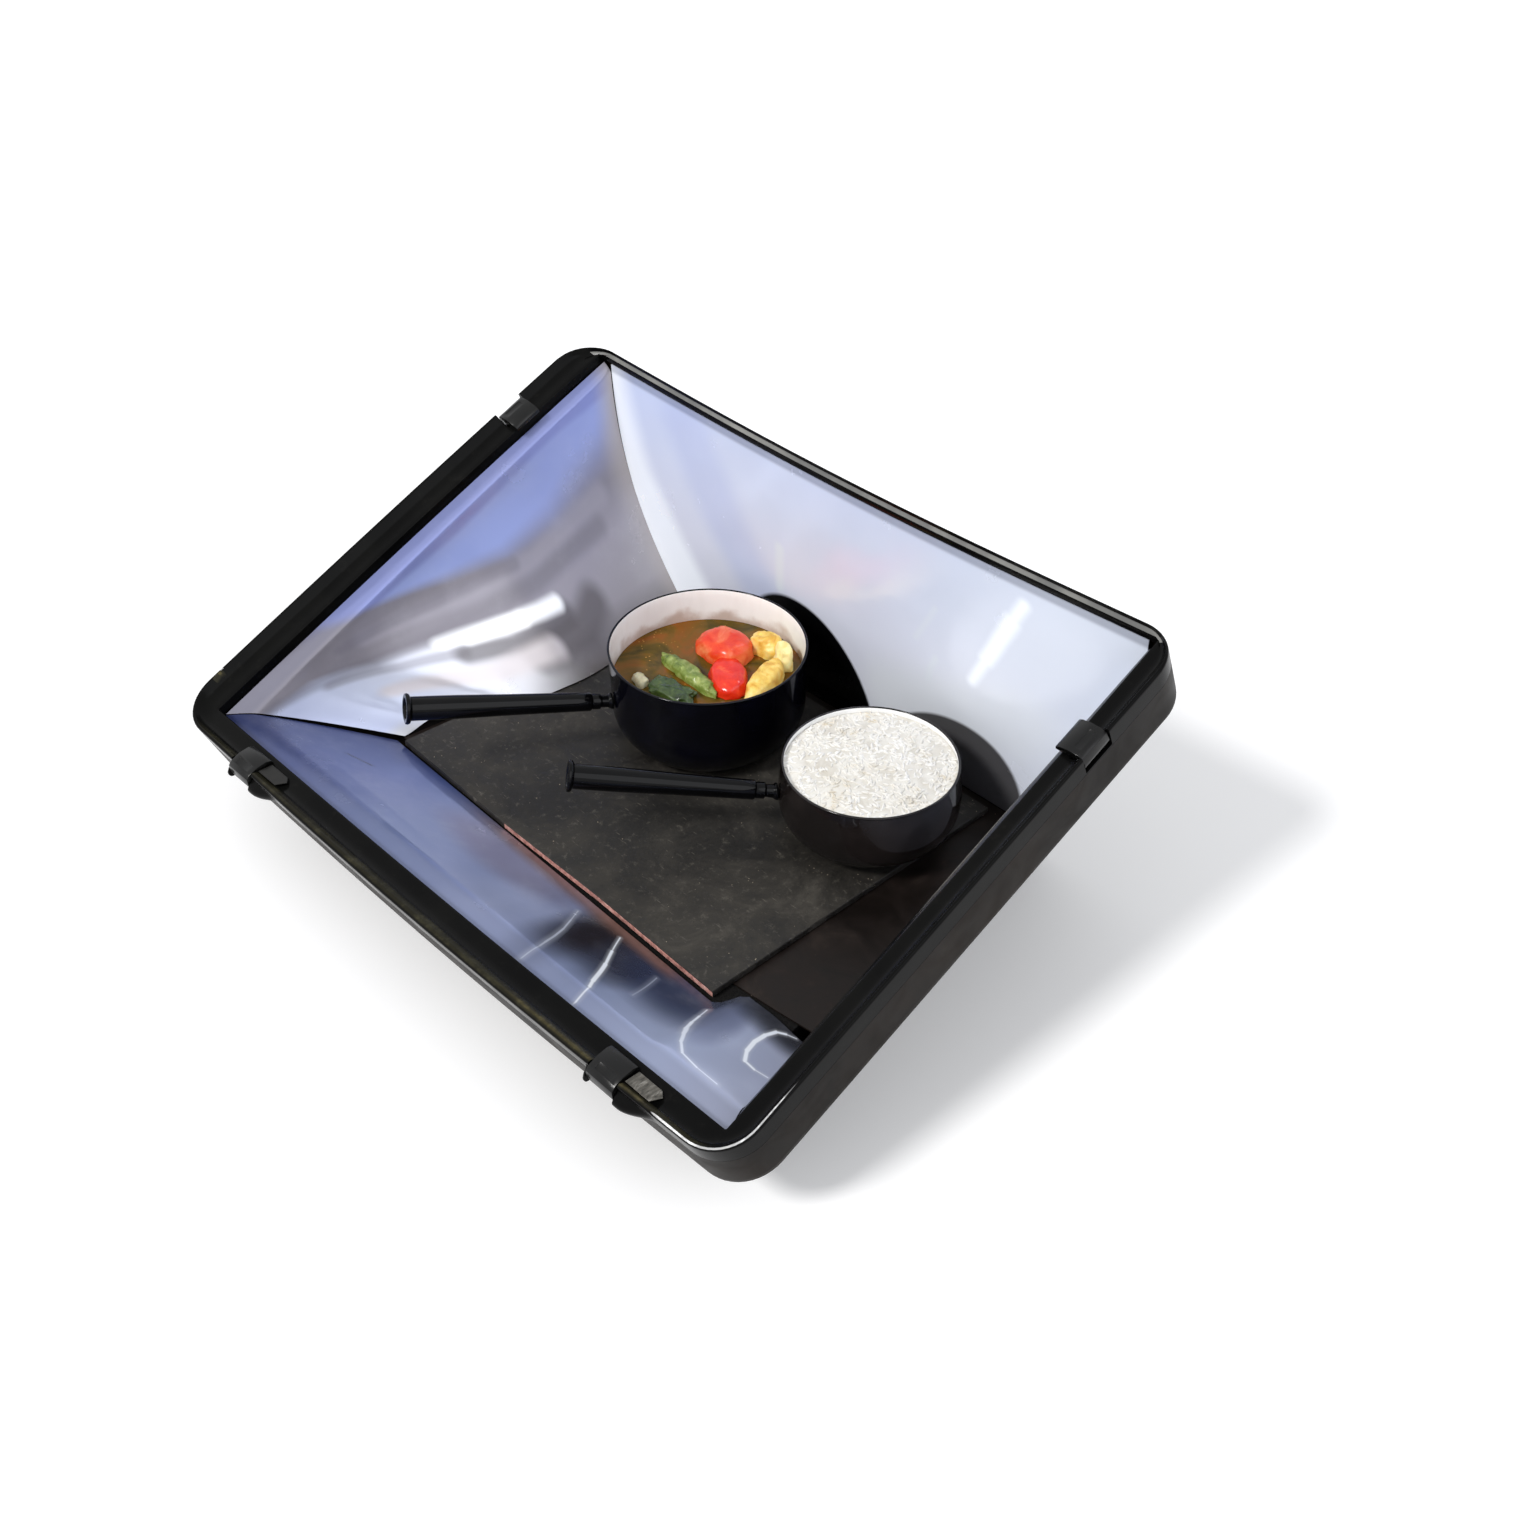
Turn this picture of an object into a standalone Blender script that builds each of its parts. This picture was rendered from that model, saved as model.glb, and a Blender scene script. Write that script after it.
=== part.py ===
"""Box solar cooker: a moulded case with a tilted mouth, four curved mirrors, a dark floor,
flip clips for the cover, and two enamel saucepans with food. Metres, +Z up, +X along the
front edge, +Y to the back. The origin is on the ground under the middle of the whole."""

import math

import bmesh
import bpy
from mathutils import Matrix, Vector

for old in list(bpy.data.objects):
    bpy.data.objects.remove(old, do_unlink=True)

# Clearance between pieces that touch
GAP = 0.0003

# Mouth of the cooker: the rectangle that the mirrors' walls start from, on a tilted plane
TILT = math.radians(22.8)
MOUTH_HALF_WIDTH = 0.2875
MOUTH_DEPTH = 0.4315

# Heights, from the ground up
FOOT_HEIGHT = 0.008
SHELL_WALL = 0.003
FLOOR_INSULATION = 0.0229
PLATE_THICKNESS = 0.0015
FLOOR_TOP = FOOT_HEIGHT + SHELL_WALL + FLOOR_INSULATION + PLATE_THICKNESS + 2 * GAP
FRONT_EDGE_OVER_FLOOR = 0.0621
FRONT_EDGE_HEIGHT = FLOOR_TOP + FRONT_EDGE_OVER_FLOOR

# Rim frame, as distances outward from the mouth's edge and above its plane
RIM_OUT = 0.0315
RIM_CREST = 0.018
RIM_BASE = 0.001
LAND_HEIGHT = 0.009
LIP_OUT = 0.009
LAND_OUT = 0.020
BACK_OUT = 0.0055
BACK_CREST = 0.012
CORNER_IN = 0.0015
CORNER_OUT = 0.035
LUG_OUT = 0.0105
LUG_HEIGHT = 0.010
LUG_TAIL = 0.032

# Bows in the middle of each edge: the back inward, the lips and the case's walls outward
BACK_BOW = 0.0072
LIP_BOW = 0.0022
FRONT_BOW = 0.0045
LEFT_BOW = 0.002

# Case, with its base in plan
SKIRT_DEPTH = 0.033
SKIRT_BACK_BOW = 0.5
BASE_RISE = 0.010
BASE_INSET = 0.008
BASE_FRONT = 0.030
BASE_BACK = 0.424
BASE_FRONT_HALF = 0.250
BASE_BACK_HALF = 0.205
BASE_CORNER = 0.012
CASE_BELLY = 0.006

# Mirrors
SHEET = 0.0008
SEAM = 0.0006
MIRROR_INSULATION = 0.003
BACKING_GAP = 0.0008
FLARE_OUT = LIP_OUT - SHEET - GAP
FLARE_DEPTH = 0.008
FLARE_ROWS = 0.25
MIRROR_LIFT = 0.0011
FLOOR_FRONT_HALF = 0.2397
FLOOR_BACK_HALF = 0.205
FLOOR_FRONT = 0.117
FLOOR_BACK = 0.406
FRONT_CURVE = 1.3
BACK_CURVE = 2.3
LEFT_CURL = 0.030
RIGHT_CURL = 0.006
CURL_START = 0.09
CURL_RUN = 0.27
BACK_BELLY = 0.004
FRONT_SAG = 0.003

# Absorber mat
MAT_THICKNESS = 0.006
MAT_BACK = 0.395
MAT_RIGHT = 0.161

# Feet and their screws
FOOT_RADIUS = 0.014
SCREW_RADIUS = 0.002
SCREW_HEAD_RADIUS = 0.0042
SCREW_HEAD = 0.0025
FEET = {
    "front_left": (-0.190, 0.065),
    "front_right": (0.190, 0.065),
    "back_left": (-0.165, 0.385),
    "back_right": (0.165, 0.385),
}

# Cover clips: the pivot is given outward from the mouth's edge and above its plane
CLIP_LENGTH = 0.026
CLIP_SIDE_GAP = 0.001
CLIP_REACH = 0.019
CLIP_TOP = 0.0175
NOTCH_IN = 0.018
PIN_RADIUS = 0.002
PIN_ENGAGES = 0.003
FRONT_CLIP_PLACES = {"left": -0.221, "right": 0.209}
SIDE_CLIP_PLACES = {"left": 0.342, "right": 0.335}
FRONT_PIVOT = (0.0325, 0.0085)
SIDE_PIVOT = (0.025, 0.0085)
FRONT_BARREL = 0.007
SIDE_BARREL = 0.006
STRIKE_LENGTH = 0.027
STRIKE_THICKNESS = 0.0012

# Saucepans
PAN_WALL = 0.0016
PAN_BEAD = 0.0022
HANDLE_RISE = math.radians(10)
HANDLE_RADIUS = 0.0092
SOCKET_LENGTH = 0.018
SOCKET_RADIUS = 0.0075
END_RING_LENGTH = 0.0045
END_RING_RADIUS = 0.0125
STEW_BELOW_RIM = 0.030
RICE_BELOW_RIM = 0.0045
RICE_CROWN = 0.004
PANS = {
    "large_pan": {
        "place": (-0.067, 0.306),
        "rim_radius": 0.082,
        "height": 0.0851,
        "base_radius": 0.052,
        "belly_radius": 0.0805,
        "belly_height": 0.034,
        "handle_turn": math.radians(243.5),
        "handle_length": 0.168,
        "handle_drop": 0.0396,
    },
    "small_pan": {
        "place": (0.1154, 0.308),
        "rim_radius": 0.069,
        "height": 0.0682,
        "base_radius": 0.030,
        "belly_radius": 0.0712,
        "belly_height": 0.036,
        "handle_turn": math.radians(231.5),
        "handle_length": 0.162,
        "handle_drop": 0.0255,
    },
}

# Food in the large pan: middle from the pan's axis, half sizes, turn and height
FOOD = {
    "tomato_half": ((-0.016, 0.029), (0.019, 0.017), 0, 0.016),
    "tomato_wedge": ((0.028, 0.017), (0.020, 0.013), -20, 0.011),
    "potato_chunk": ((-0.002, 0.058), (0.014, 0.010), 5, 0.017),
    "potato_cube": ((0.024, 0.060), (0.010, 0.008), -15, 0.021),
    "potato_slice": ((0.051, 0.036), (0.025, 0.008), 118, 0.015),
    "pepper_strip": ((-0.003, -0.009), (0.038, 0.009), -4, 0.008),
    "pepper_leaf": ((0.004, -0.036), (0.024, 0.012), 8, 0.009),
    "onion_piece": ((-0.030, -0.050), (0.009, 0.006), -15, 0.007),
}

# The whole is centred on the origin from front to back
FRONT_REACH = (RIM_OUT + LUG_OUT) * math.cos(TILT) + LUG_HEIGHT * math.sin(TILT)
FRONT_EDGE_Y = (FRONT_REACH - BASE_BACK) / 2


def mix(a, b, part):
    return a + (b - a) * part


def smooth(part):
    part = min(1.0, max(0.0, part))
    return part * part * (3 - 2 * part)


def rim_point(u, v, w):
    """A point by its place along the front edge, up the mouth's slope and above its plane."""
    y = FRONT_EDGE_Y + v * math.cos(TILT) - w * math.sin(TILT)
    return Vector((u, y, FRONT_EDGE_HEIGHT + v * math.sin(TILT) + w * math.cos(TILT)))


def place(x, y, z):
    """A point by its place in plan behind the front edge, and its height above the ground."""
    return Vector((x, FRONT_EDGE_Y + y, z))


def material(name, colour, roughness, metallic=0.0):
    made = bpy.data.materials.new(name)
    made.use_nodes = True
    shader = made.node_tree.nodes["Principled BSDF"]
    shader.inputs["Base Color"].default_value = (*colour, 1)
    shader.inputs["Roughness"].default_value = roughness
    shader.inputs["Metallic"].default_value = metallic
    made.diffuse_color = (*colour, 1)
    return made


CASE_PLASTIC = material("case_plastic", (0.018, 0.016, 0.015), 0.35)
RIM_PLASTIC = material("rim_plastic", (0.012, 0.012, 0.014), 0.18)
MIRROR_SHEET = material("mirror_sheet", (0.78, 0.80, 0.86), 0.15, 1.0)
DARK_METAL = material("dark_metal", (0.025, 0.022, 0.020), 0.4, 0.6)
MAT_SLATE = material("mat_slate", (0.05, 0.047, 0.042), 0.75)
FOAM = material("insulation_foam", (0.05, 0.05, 0.05), 0.9)
FOOT_RUBBER = material("foot_rubber", (0.02, 0.02, 0.02), 0.8)
STEEL = material("steel", (0.55, 0.55, 0.56), 0.3, 1.0)
CLIP_PLASTIC = material("clip_plastic", (0.03, 0.03, 0.03), 0.3)
GREY_PLATE = material("grey_plate", (0.42, 0.40, 0.38), 0.35, 0.7)
PAN_ENAMEL = material("pan_enamel", (0.006, 0.006, 0.012), 0.08)
HANDLE_ENAMEL = material("handle_enamel", (0.005, 0.005, 0.006), 0.12)
STEW_BROTH = material("stew_broth", (0.20, 0.08, 0.015), 0.25)
TOMATO = material("tomato", (0.75, 0.05, 0.02), 0.3)
POTATO = material("potato", (0.85, 0.65, 0.25), 0.5)
PEPPER = material("pepper", (0.20, 0.30, 0.06), 0.3)
ONION = material("onion", (0.7, 0.68, 0.5), 0.4)
RICE = material("rice", (0.85, 0.83, 0.78), 0.7)


def solid(name, shell, look, sharp=35):
    """Turns a bmesh into an object with its faces pointing out."""
    bmesh.ops.recalc_face_normals(shell, faces=shell.faces)
    mesh = bpy.data.meshes.new(name)
    shell.to_mesh(mesh)
    shell.free()
    mesh.shade_smooth()
    mesh.set_sharp_from_angle(angle=math.radians(sharp))
    mesh.materials.append(look)
    made = bpy.data.objects.new(name, mesh)
    bpy.context.scene.collection.objects.link(made)
    return made


def loft(name, rings, look, closed=False):
    """Joins rings of equal length. An open loft gets a face over each end ring."""
    shell = bmesh.new()
    rows = [[shell.verts.new(point) for point in ring] for ring in rings]
    pairs = list(zip(rows, rows[1:]))
    if closed:
        pairs.append((rows[-1], rows[0]))
    for low, high in pairs:
        for i in range(len(low)):
            j = (i + 1) % len(low)
            shell.faces.new((low[i], low[j], high[j], high[i]))
    if not closed:
        shell.faces.new(rows[0])
        shell.faces.new(rows[-1])
    return solid(name, shell, look)


def turned(name, profile, look, steps=24, frame=None):
    """Spins an outline of (radius, height) about Z; it is closed through the axis or round."""
    frame = frame or Matrix()
    shell = bmesh.new()
    rows = []
    for radius, height in profile:
        if radius == 0:
            rows.append([shell.verts.new(frame @ Vector((0, 0, height)))] * steps)
            continue
        row = []
        for i in range(steps):
            angle = 2 * math.pi * i / steps
            point = Vector((radius * math.cos(angle), radius * math.sin(angle), height))
            row.append(shell.verts.new(frame @ point))
        rows.append(row)
    pairs = list(zip(rows, rows[1:]))
    if profile[0][0] > 0:
        pairs.append((rows[-1], rows[0]))
    for low, high in pairs:
        for i in range(steps):
            j = (i + 1) % steps
            corners = dict.fromkeys((low[i], low[j], high[j], high[i]))
            shell.faces.new(list(corners))
    return solid(name, shell, look)


def prism(name, outline, low, high, look):
    """A flat slab with the given outline in plan."""
    rings = [[place(x, y, z) for x, y in outline] for z in (low, high)]
    return loft(name, rings, look)


def sheet(name, surface, thickness, look, off=0.0, across=(0.0, 1.0), down=(0.0, 1.0), cells=(12, 8)):
    """A thin sheet on a surface of two shares, from the left seen from inside and from the top."""
    step = 1e-4
    near, far = [], []
    for i in range(cells[0] + 1):
        s = mix(*across, i / cells[0])
        for j in range(cells[1] + 1):
            t = mix(*down, j / cells[1])
            along = surface(s + step, t) - surface(s - step, t)
            fall = surface(s, t + step) - surface(s, max(0.0, t - step))
            outward = fall.cross(along).normalized()
            near.append(surface(s, t) + outward * off)
            far.append(surface(s, t) + outward * (off + thickness))
    shell = bmesh.new()
    near = [shell.verts.new(point) for point in near]
    far = [shell.verts.new(point) for point in far]
    columns = cells[1] + 1
    for i in range(cells[0]):
        for j in range(cells[1]):
            corners = (
                i * columns + j,
                (i + 1) * columns + j,
                (i + 1) * columns + j + 1,
                i * columns + j + 1,
            )
            shell.faces.new([near[k] for k in corners])
            shell.faces.new([far[k] for k in reversed(corners)])
    for edge in [edge for edge in shell.edges if edge.is_boundary]:
        edge.tag = True
    edges = [edge for edge in shell.edges if edge.tag]
    bmesh.ops.bridge_loops(shell, edges=edges)
    return solid(name, shell, look)


def cutter(name, shape):
    shape.name = name
    shape.hide_render = True
    shape.display_type = "WIRE"
    return shape


def cut(target, tool):
    bite = target.modifiers.new(tool.name, "BOOLEAN")
    bite.operation = "DIFFERENCE"
    bite.object = tool


def axle_frame(start, direction):
    """A frame at start whose Z runs along direction."""
    turn = Vector((0, 0, 1)).rotation_difference(direction).to_matrix().to_4x4()
    return Matrix.Translation(start) @ turn


def set_origin(made, point):
    made.data.transform(Matrix.Translation(-point))
    made.location = point


def lug_part(u):
    """How far the front wall swells beside a clip: steep on its left, a long tail on its right."""
    most = 0.0
    for middle in FRONT_CLIP_PLACES.values():
        along = u - middle
        ear = CLIP_LENGTH / 2 + CLIP_SIDE_GAP
        rise = smooth((along + ear + 0.006) / 0.005)
        fall = 1 - smooth((along - ear - 0.004) / LUG_TAIL)
        most = max(most, min(rise, fall))
    return most


def front_stations():
    """Places along the front edge where the frame's outline has a point."""
    ear = CLIP_LENGTH / 2 + CLIP_SIDE_GAP
    steps = [-ear - 0.006, -ear - 0.0035, -ear - 0.001, ear + 0.004]
    steps += [ear + 0.004 + LUG_TAIL * part for part in (0.25, 0.5, 0.75, 1.0)]
    left, right = [
        [middle + step for step in steps] for middle in FRONT_CLIP_PLACES.values()
    ]
    return left + [-0.12, -0.06, 0.0, 0.06, 0.12] + right


def outline(half, front, back, corner, stations, back_half=None, corner_steps=5):
    """A rounded rectangle from the front left corner round: (u, v, share of the back section)."""
    back_half = back_half or half
    points = []

    def arc(centre, start, share):
        for i in range(corner_steps + 1):
            turn = start + math.pi / 2 * i / corner_steps
            u = centre[0] + corner * math.cos(turn)
            v = centre[1] + corner * math.sin(turn)
            points.append((u, v, share(i / corner_steps)))

    def side(sign, parts):
        for part in parts:
            u = sign * mix(half, back_half, part)
            points.append((u, mix(front + corner, back - corner, part), 0.0))

    arc((-half + corner, front + corner), math.pi, lambda part: 0.0)
    points.extend((u, front, 0.0) for u in stations)
    arc((half - corner, front + corner), 1.5 * math.pi, lambda part: 0.0)
    side(1, (0.2, 0.4, 0.6, 0.8))
    arc((back_half - corner, back - corner), 0.0, smooth)
    reach = back_half - corner
    points.extend((reach * part, back, 1.0) for part in (0.8, 0.5, 0.2, -0.2, -0.5, -0.8))
    arc((-back_half + corner, back - corner), 0.5 * math.pi, lambda part: smooth(1 - part))
    side(-1, (0.8, 0.6, 0.4, 0.2))
    return points


def hump(place_along, half_length):
    """One in the middle of an edge, falling to nothing at its ends."""
    return math.cos(math.pi / 2 * min(1.0, abs(place_along) / half_length))


def back_bow(u):
    return BACK_BOW * hump(u, MOUTH_HALF_WIDTH)


def bowed(u, v, out, back, lip, wall, lug=0.0):
    """Moves a point of an outline by the bows of the edge that it lies on."""
    if back > 0:
        return u, v - back_bow(u) * back
    if v <= -out + 1e-9:
        along = hump(u, MOUTH_HALF_WIDTH)
        swell = max(FRONT_BOW * wall * along, LUG_OUT * lug * lug_part(u))
        return u, v - swell - LIP_BOW * lip * along
    if abs(u) < MOUTH_HALF_WIDTH + out - 1e-9:
        return u, v
    along = hump(v - MOUTH_DEPTH / 2, MOUTH_DEPTH / 2)
    push = LIP_BOW * lip * along
    if u < 0:
        push += LEFT_BOW * wall * along
    return u + math.copysign(push, u), v


def corner_at(out):
    """Corner radius of the frame: even bands outside the land, sharp at the lip."""
    if out >= LAND_OUT:
        return CORNER_OUT - (RIM_OUT - out)
    land_corner = CORNER_OUT - (RIM_OUT - LAND_OUT)
    return mix(CORNER_IN, land_corner, (out - LIP_OUT) / (LAND_OUT - LIP_OUT))


def make_rim_frame():
    """Each row: outward and up on the front and sides, then at the back; then the shares of
    the lip's bow, the wall's bow and the lugs."""
    spigot_out = RIM_OUT - SHELL_WALL - GAP
    back_spigot = BACK_OUT - SHELL_WALL - GAP
    section = [
        (RIM_OUT, RIM_BASE, BACK_OUT, RIM_BASE, 0, 1, 0),
        (RIM_OUT, 0.003, BACK_OUT, 0.003, 0, 1, 1),
        (RIM_OUT, LUG_HEIGHT, BACK_OUT, 0.008, 0, 1, 1),
        (RIM_OUT, 0.0135, BACK_OUT, 0.010, 0, 1, 0),
        (RIM_OUT, RIM_CREST - 0.001, BACK_OUT, BACK_CREST - 0.001, 0, 1, 0),
        (RIM_OUT - 0.001, RIM_CREST, BACK_OUT - 0.0005, BACK_CREST, 0, 0.9, 0),
        (RIM_OUT - 0.0025, RIM_CREST, 0.0046, BACK_CREST, 0, 0.7, 0),
        (RIM_OUT - 0.0035, RIM_CREST - 0.0015, 0.0042, BACK_CREST - 0.001, 0, 0.5, 0),
        (0.025, 0.012, 0.0039, 0.0088, 0, 0.1, 0),
        (LAND_OUT, LAND_HEIGHT + 0.0005, 0.0026, 0.0074, 0.3, 0, 0),
        (LIP_OUT + 0.0008, LAND_HEIGHT, 0.0014, 0.0062, 1, 0, 0),
        (LIP_OUT, LAND_HEIGHT - 0.0008, 0.0010, 0.0056, 1, 0, 0),
        (LIP_OUT, GAP, 0.0009, GAP, 1, 0, 0),
        (0.022, GAP, 0.0016, GAP, 0.3, 0, 0),
        (0.022, -0.004, 0.0017, GAP, 0.3, 0, 0),
        (spigot_out, -0.004, back_spigot, GAP, 0, 1, 0),
        (spigot_out, RIM_BASE, back_spigot + 0.0001, RIM_BASE, 0, 1, 0),
    ]
    rings = []
    for out, up, back_out, back_up, lip, wall, lug in section:
        half = MOUTH_HALF_WIDTH + out
        points = outline(half, -out, MOUTH_DEPTH + back_out, corner_at(out), front_stations())
        ring = []
        for u, v, back in points:
            u, v = bowed(u, v, out, back, lip, wall, lug)
            # The spigot under the plane ends before it meets the corners of the side mirrors
            share = min(1.0, 2.5 * back) if up < 0 else back
            ring.append(rim_point(u, v, mix(up, back_up, share)))
        rings.append(ring)
    frame = loft("rim_frame", rings, RIM_PLASTIC, closed=True)
    frame.modifiers.new("flat_faces", "TRIANGULATE")
    for name, spot in CLIPS.items():
        cut(frame, cutter("notch_" + name, clip_notch(spot)))
        hole = CLIP_LENGTH / 2 + CLIP_SIDE_GAP + PIN_ENGAGES + GAP
        cut(frame, cutter("pin_hole_" + name, clip_axle(spot, PIN_RADIUS + GAP, hole)))
    return frame


def make_case_shell():
    """Outer and inner skins from the rim down to the base, with both floors."""
    skins = []
    for inset in (0.0, SHELL_WALL):
        rings = []
        fractions = (-0.8, -0.5, -0.2, 0.2, 0.5, 0.8)
        top_half = MOUTH_HALF_WIDTH + RIM_OUT - inset
        top_front = -RIM_OUT + inset
        top_back = MOUTH_DEPTH + BACK_OUT - inset
        corner = CORNER_OUT - inset
        stations = [(top_half - corner) * part for part in fractions]
        top = outline(top_half, top_front, top_back, corner, stations)
        out = RIM_OUT - inset
        for up, share in ((RIM_BASE - GAP, 1.0), (-SKIRT_DEPTH, SKIRT_BACK_BOW)):
            moved = [bowed(u, v, out, back * share, 0, 1) for u, v, back in top]
            rings.append([rim_point(u, v, up) for u, v in moved])
        skirt = rings[-1]
        base_corner = BASE_CORNER - inset / 2
        stations = [(BASE_FRONT_HALF - inset - base_corner) * part for part in fractions]
        base = outline(
            BASE_FRONT_HALF - inset,
            BASE_FRONT + inset,
            BASE_BACK - inset,
            base_corner,
            stations,
            back_half=BASE_BACK_HALF - inset,
        )
        base_height = FOOT_HEIGHT + BASE_RISE
        low = [place(x, y, base_height) for x, y, _ in base]
        middle_x, middle_y = 0.0, (BASE_FRONT + BASE_BACK) / 2 + FRONT_EDGE_Y
        for part in (0.35, 0.6, 0.8):
            belly = CASE_BELLY * 6.75 * part * part * (1 - part)
            ring = []
            for a, b in zip(skirt, low):
                point = a.lerp(b, part)
                side = smooth((abs(point.x) - 0.15) / 0.08)
                point.x += math.copysign(belly * side, point.x - middle_x)
                ring.append(point)
            rings.append(ring)
        rings.append(low)
        shrink = BASE_INSET / BASE_BACK_HALF
        floor_height = FOOT_HEIGHT + inset
        centre = Vector((middle_x, middle_y, 0))
        floor = []
        for point in low:
            moved = point.lerp(centre, shrink)
            moved.z = floor_height
            floor.append(moved)
        rings.append(floor)
        skins.append(rings)
    outer, inner = skins
    shell = loft("case_shell", list(reversed(outer)) + inner, CASE_PLASTIC)
    for name, (x, y) in FEET.items():
        spot = place(x, y, FOOT_HEIGHT - 0.001)
        profile = [(0, 0), (SCREW_RADIUS + GAP, 0), (SCREW_RADIUS + GAP, 0.006), (0, 0.006)]
        hole = turned("hole", profile, CASE_PLASTIC, 12, Matrix.Translation(spot))
        cut(shell, cutter("screw_hole_" + name, hole))
    return shell


def side_edge(s, curl):
    """The lower edge of a side mirror, from the front to the back of the floor."""
    bulge = curl * smooth((s - CURL_START) / CURL_RUN) * (1 - smooth(2 * s - 1))
    return mix(FLOOR_FRONT_HALF, FLOOR_BACK_HALF, s) - bulge, mix(FLOOR_FRONT, FLOOR_BACK, s)


def fallen(t, top, low):
    """The share of a mirror's height at row share t, and what is left of its flared edge."""
    knee = FLARE_DEPTH / (top.z - low.z)
    if t < FLARE_ROWS:
        return knee * t / FLARE_ROWS, (1 - t / FLARE_ROWS) ** 1.6
    return mix(knee, 1.0, (t - FLARE_ROWS) / (1 - FLARE_ROWS)), 0.0


def side_surface(side, curl, over_mat):
    def point(s, t):
        t = max(0.0, t)
        x, y = side_edge(s, curl)
        top = rim_point(0, s * MOUTH_DEPTH, 0)
        lift = MIRROR_LIFT
        if over_mat:
            lift += (MAT_THICKNESS + GAP) * smooth(s / CURL_START)
        low = place(0, y, FLOOR_TOP + lift)
        t, flare = fallen(t, top, low)
        curve = mix(FRONT_CURVE, BACK_CURVE, min(1.0, max(0.0, s)))
        middle = top.lerp(low, t) + (rim_point(0, -FLARE_OUT * flare * (1 - s), 0) - rim_point(0, 0, 0))
        out = (FLARE_OUT + LIP_BOW * hump(2 * s - 1, 1)) * flare
        middle.x = side * (MOUTH_HALF_WIDTH + out - (MOUTH_HALF_WIDTH - x) * t ** curve)
        return middle

    return point


def front_edge(x):
    """The lower edge of the front mirror, close in front of the mat."""
    if x > MAT_RIGHT:
        return mix(0.0962, 0.1145, smooth((x - MAT_RIGHT) / (FLOOR_FRONT_HALF - MAT_RIGHT)))
    return mix(0.1095, 0.0962, (x + FLOOR_FRONT_HALF) / (MAT_RIGHT + FLOOR_FRONT_HALF))


def front_surface(s, t):
    t = max(0.0, t)
    side = 2 * s - 1
    low = place(0, front_edge(side * FLOOR_FRONT_HALF), FLOOR_TOP + MIRROR_LIFT)
    t, flare = fallen(t, rim_point(0, 0, 0), low)
    out = (FLARE_OUT + LIP_BOW * hump(side, 1)) * flare
    half = MOUTH_HALF_WIDTH - (MOUTH_HALF_WIDTH - FLOOR_FRONT_HALF) * t ** FRONT_CURVE
    middle = rim_point(0, 0, 0).lerp(low, t) + rim_point(0, -out, 0) - rim_point(0, 0, 0)
    middle.z -= FRONT_SAG * math.sin(math.pi * min(1.0, t)) * hump(side, 1)
    middle.x = side * (half + FLARE_OUT * flare)
    return middle


def back_surface(s, t):
    t = max(0.0, t)
    side = 1 - 2 * s
    top = rim_point(0, MOUTH_DEPTH - back_bow(side * MOUTH_HALF_WIDTH), 0)
    low = place(0, FLOOR_BACK, FLOOR_TOP + MIRROR_LIFT)
    t, _ = fallen(t, top, low)
    half = MOUTH_HALF_WIDTH - (MOUTH_HALF_WIDTH - FLOOR_BACK_HALF) * t ** BACK_CURVE
    middle = top.lerp(low, t)
    middle.y += BACK_BELLY * math.sin(math.pi * min(1.0, t)) * hump(side, 1)
    middle.x = side * half
    return middle


def make_mirrors():
    """Mirrors, with insulation behind the cells where the case leaves room for it."""
    left = side_surface(-1, LEFT_CURL, True)
    right = side_surface(1, RIGHT_CURL, False)

    def left_from_back(s, t):
        return left(1 - s, t)

    def backed(name, surface, length, cells, first, last):
        whole = (SEAM / length, 1 - SEAM / length)
        sheet("reflector_" + name, surface, SHEET, MIRROR_SHEET, across=whole, cells=cells)
        if first == last:
            return
        part = [mix(*whole, cell / cells[0]) for cell in (first, last)]
        down = (FLARE_ROWS, 1 - 1 / cells[1])
        fewer = (last - first, round(cells[1] * (down[1] - down[0])))
        behind = SHEET + BACKING_GAP
        sheet("insulation_" + name, surface, MIRROR_INSULATION, FOAM, behind, part, down, fewer)

    backed("left", left_from_back, MOUTH_DEPTH, (12, 8), 6, 11)
    backed("right", right, MOUTH_DEPTH, (12, 8), 1, 6)
    backed("front", front_surface, 2 * MOUTH_HALF_WIDTH, (14, 8), 2, 12)
    backed("back", back_surface, 2 * MOUTH_HALF_WIDTH, (12, 8), 0, 0)


def make_floor():
    base = FOOT_HEIGHT + SHELL_WALL + GAP
    foam = [(-0.230, 0.050), (0.230, 0.050), (0.190, 0.405), (-0.190, 0.405)]
    prism("insulation_floor", foam, base, base + FLOOR_INSULATION, FOAM)
    half = FLOOR_FRONT_HALF
    back_half = FLOOR_BACK_HALF + 0.0015
    plate = [
        (-half, FLOOR_FRONT),
        (0.150, FLOOR_FRONT + 0.0025),
        (0.200, FLOOR_FRONT + 0.007),
        (half, FLOOR_FRONT + 0.0115),
        (back_half, FLOOR_BACK),
        (-back_half, FLOOR_BACK),
    ]
    prism("floor_plate", plate, FLOOR_TOP - PLATE_THICKNESS, FLOOR_TOP, DARK_METAL)
    low = FLOOR_TOP + GAP
    mat = [
        (-0.2295, 0.111),
        (-0.088, 0.106),
        (0.031, 0.105),
        (MAT_RIGHT, 0.100),
        (MAT_RIGHT + 0.004, MAT_BACK),
        (-FLOOR_BACK_HALF, MAT_BACK),
    ]
    prism("absorber_mat", mat, low, FLOOR_TOP + MAT_THICKNESS, MAT_SLATE)


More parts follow.
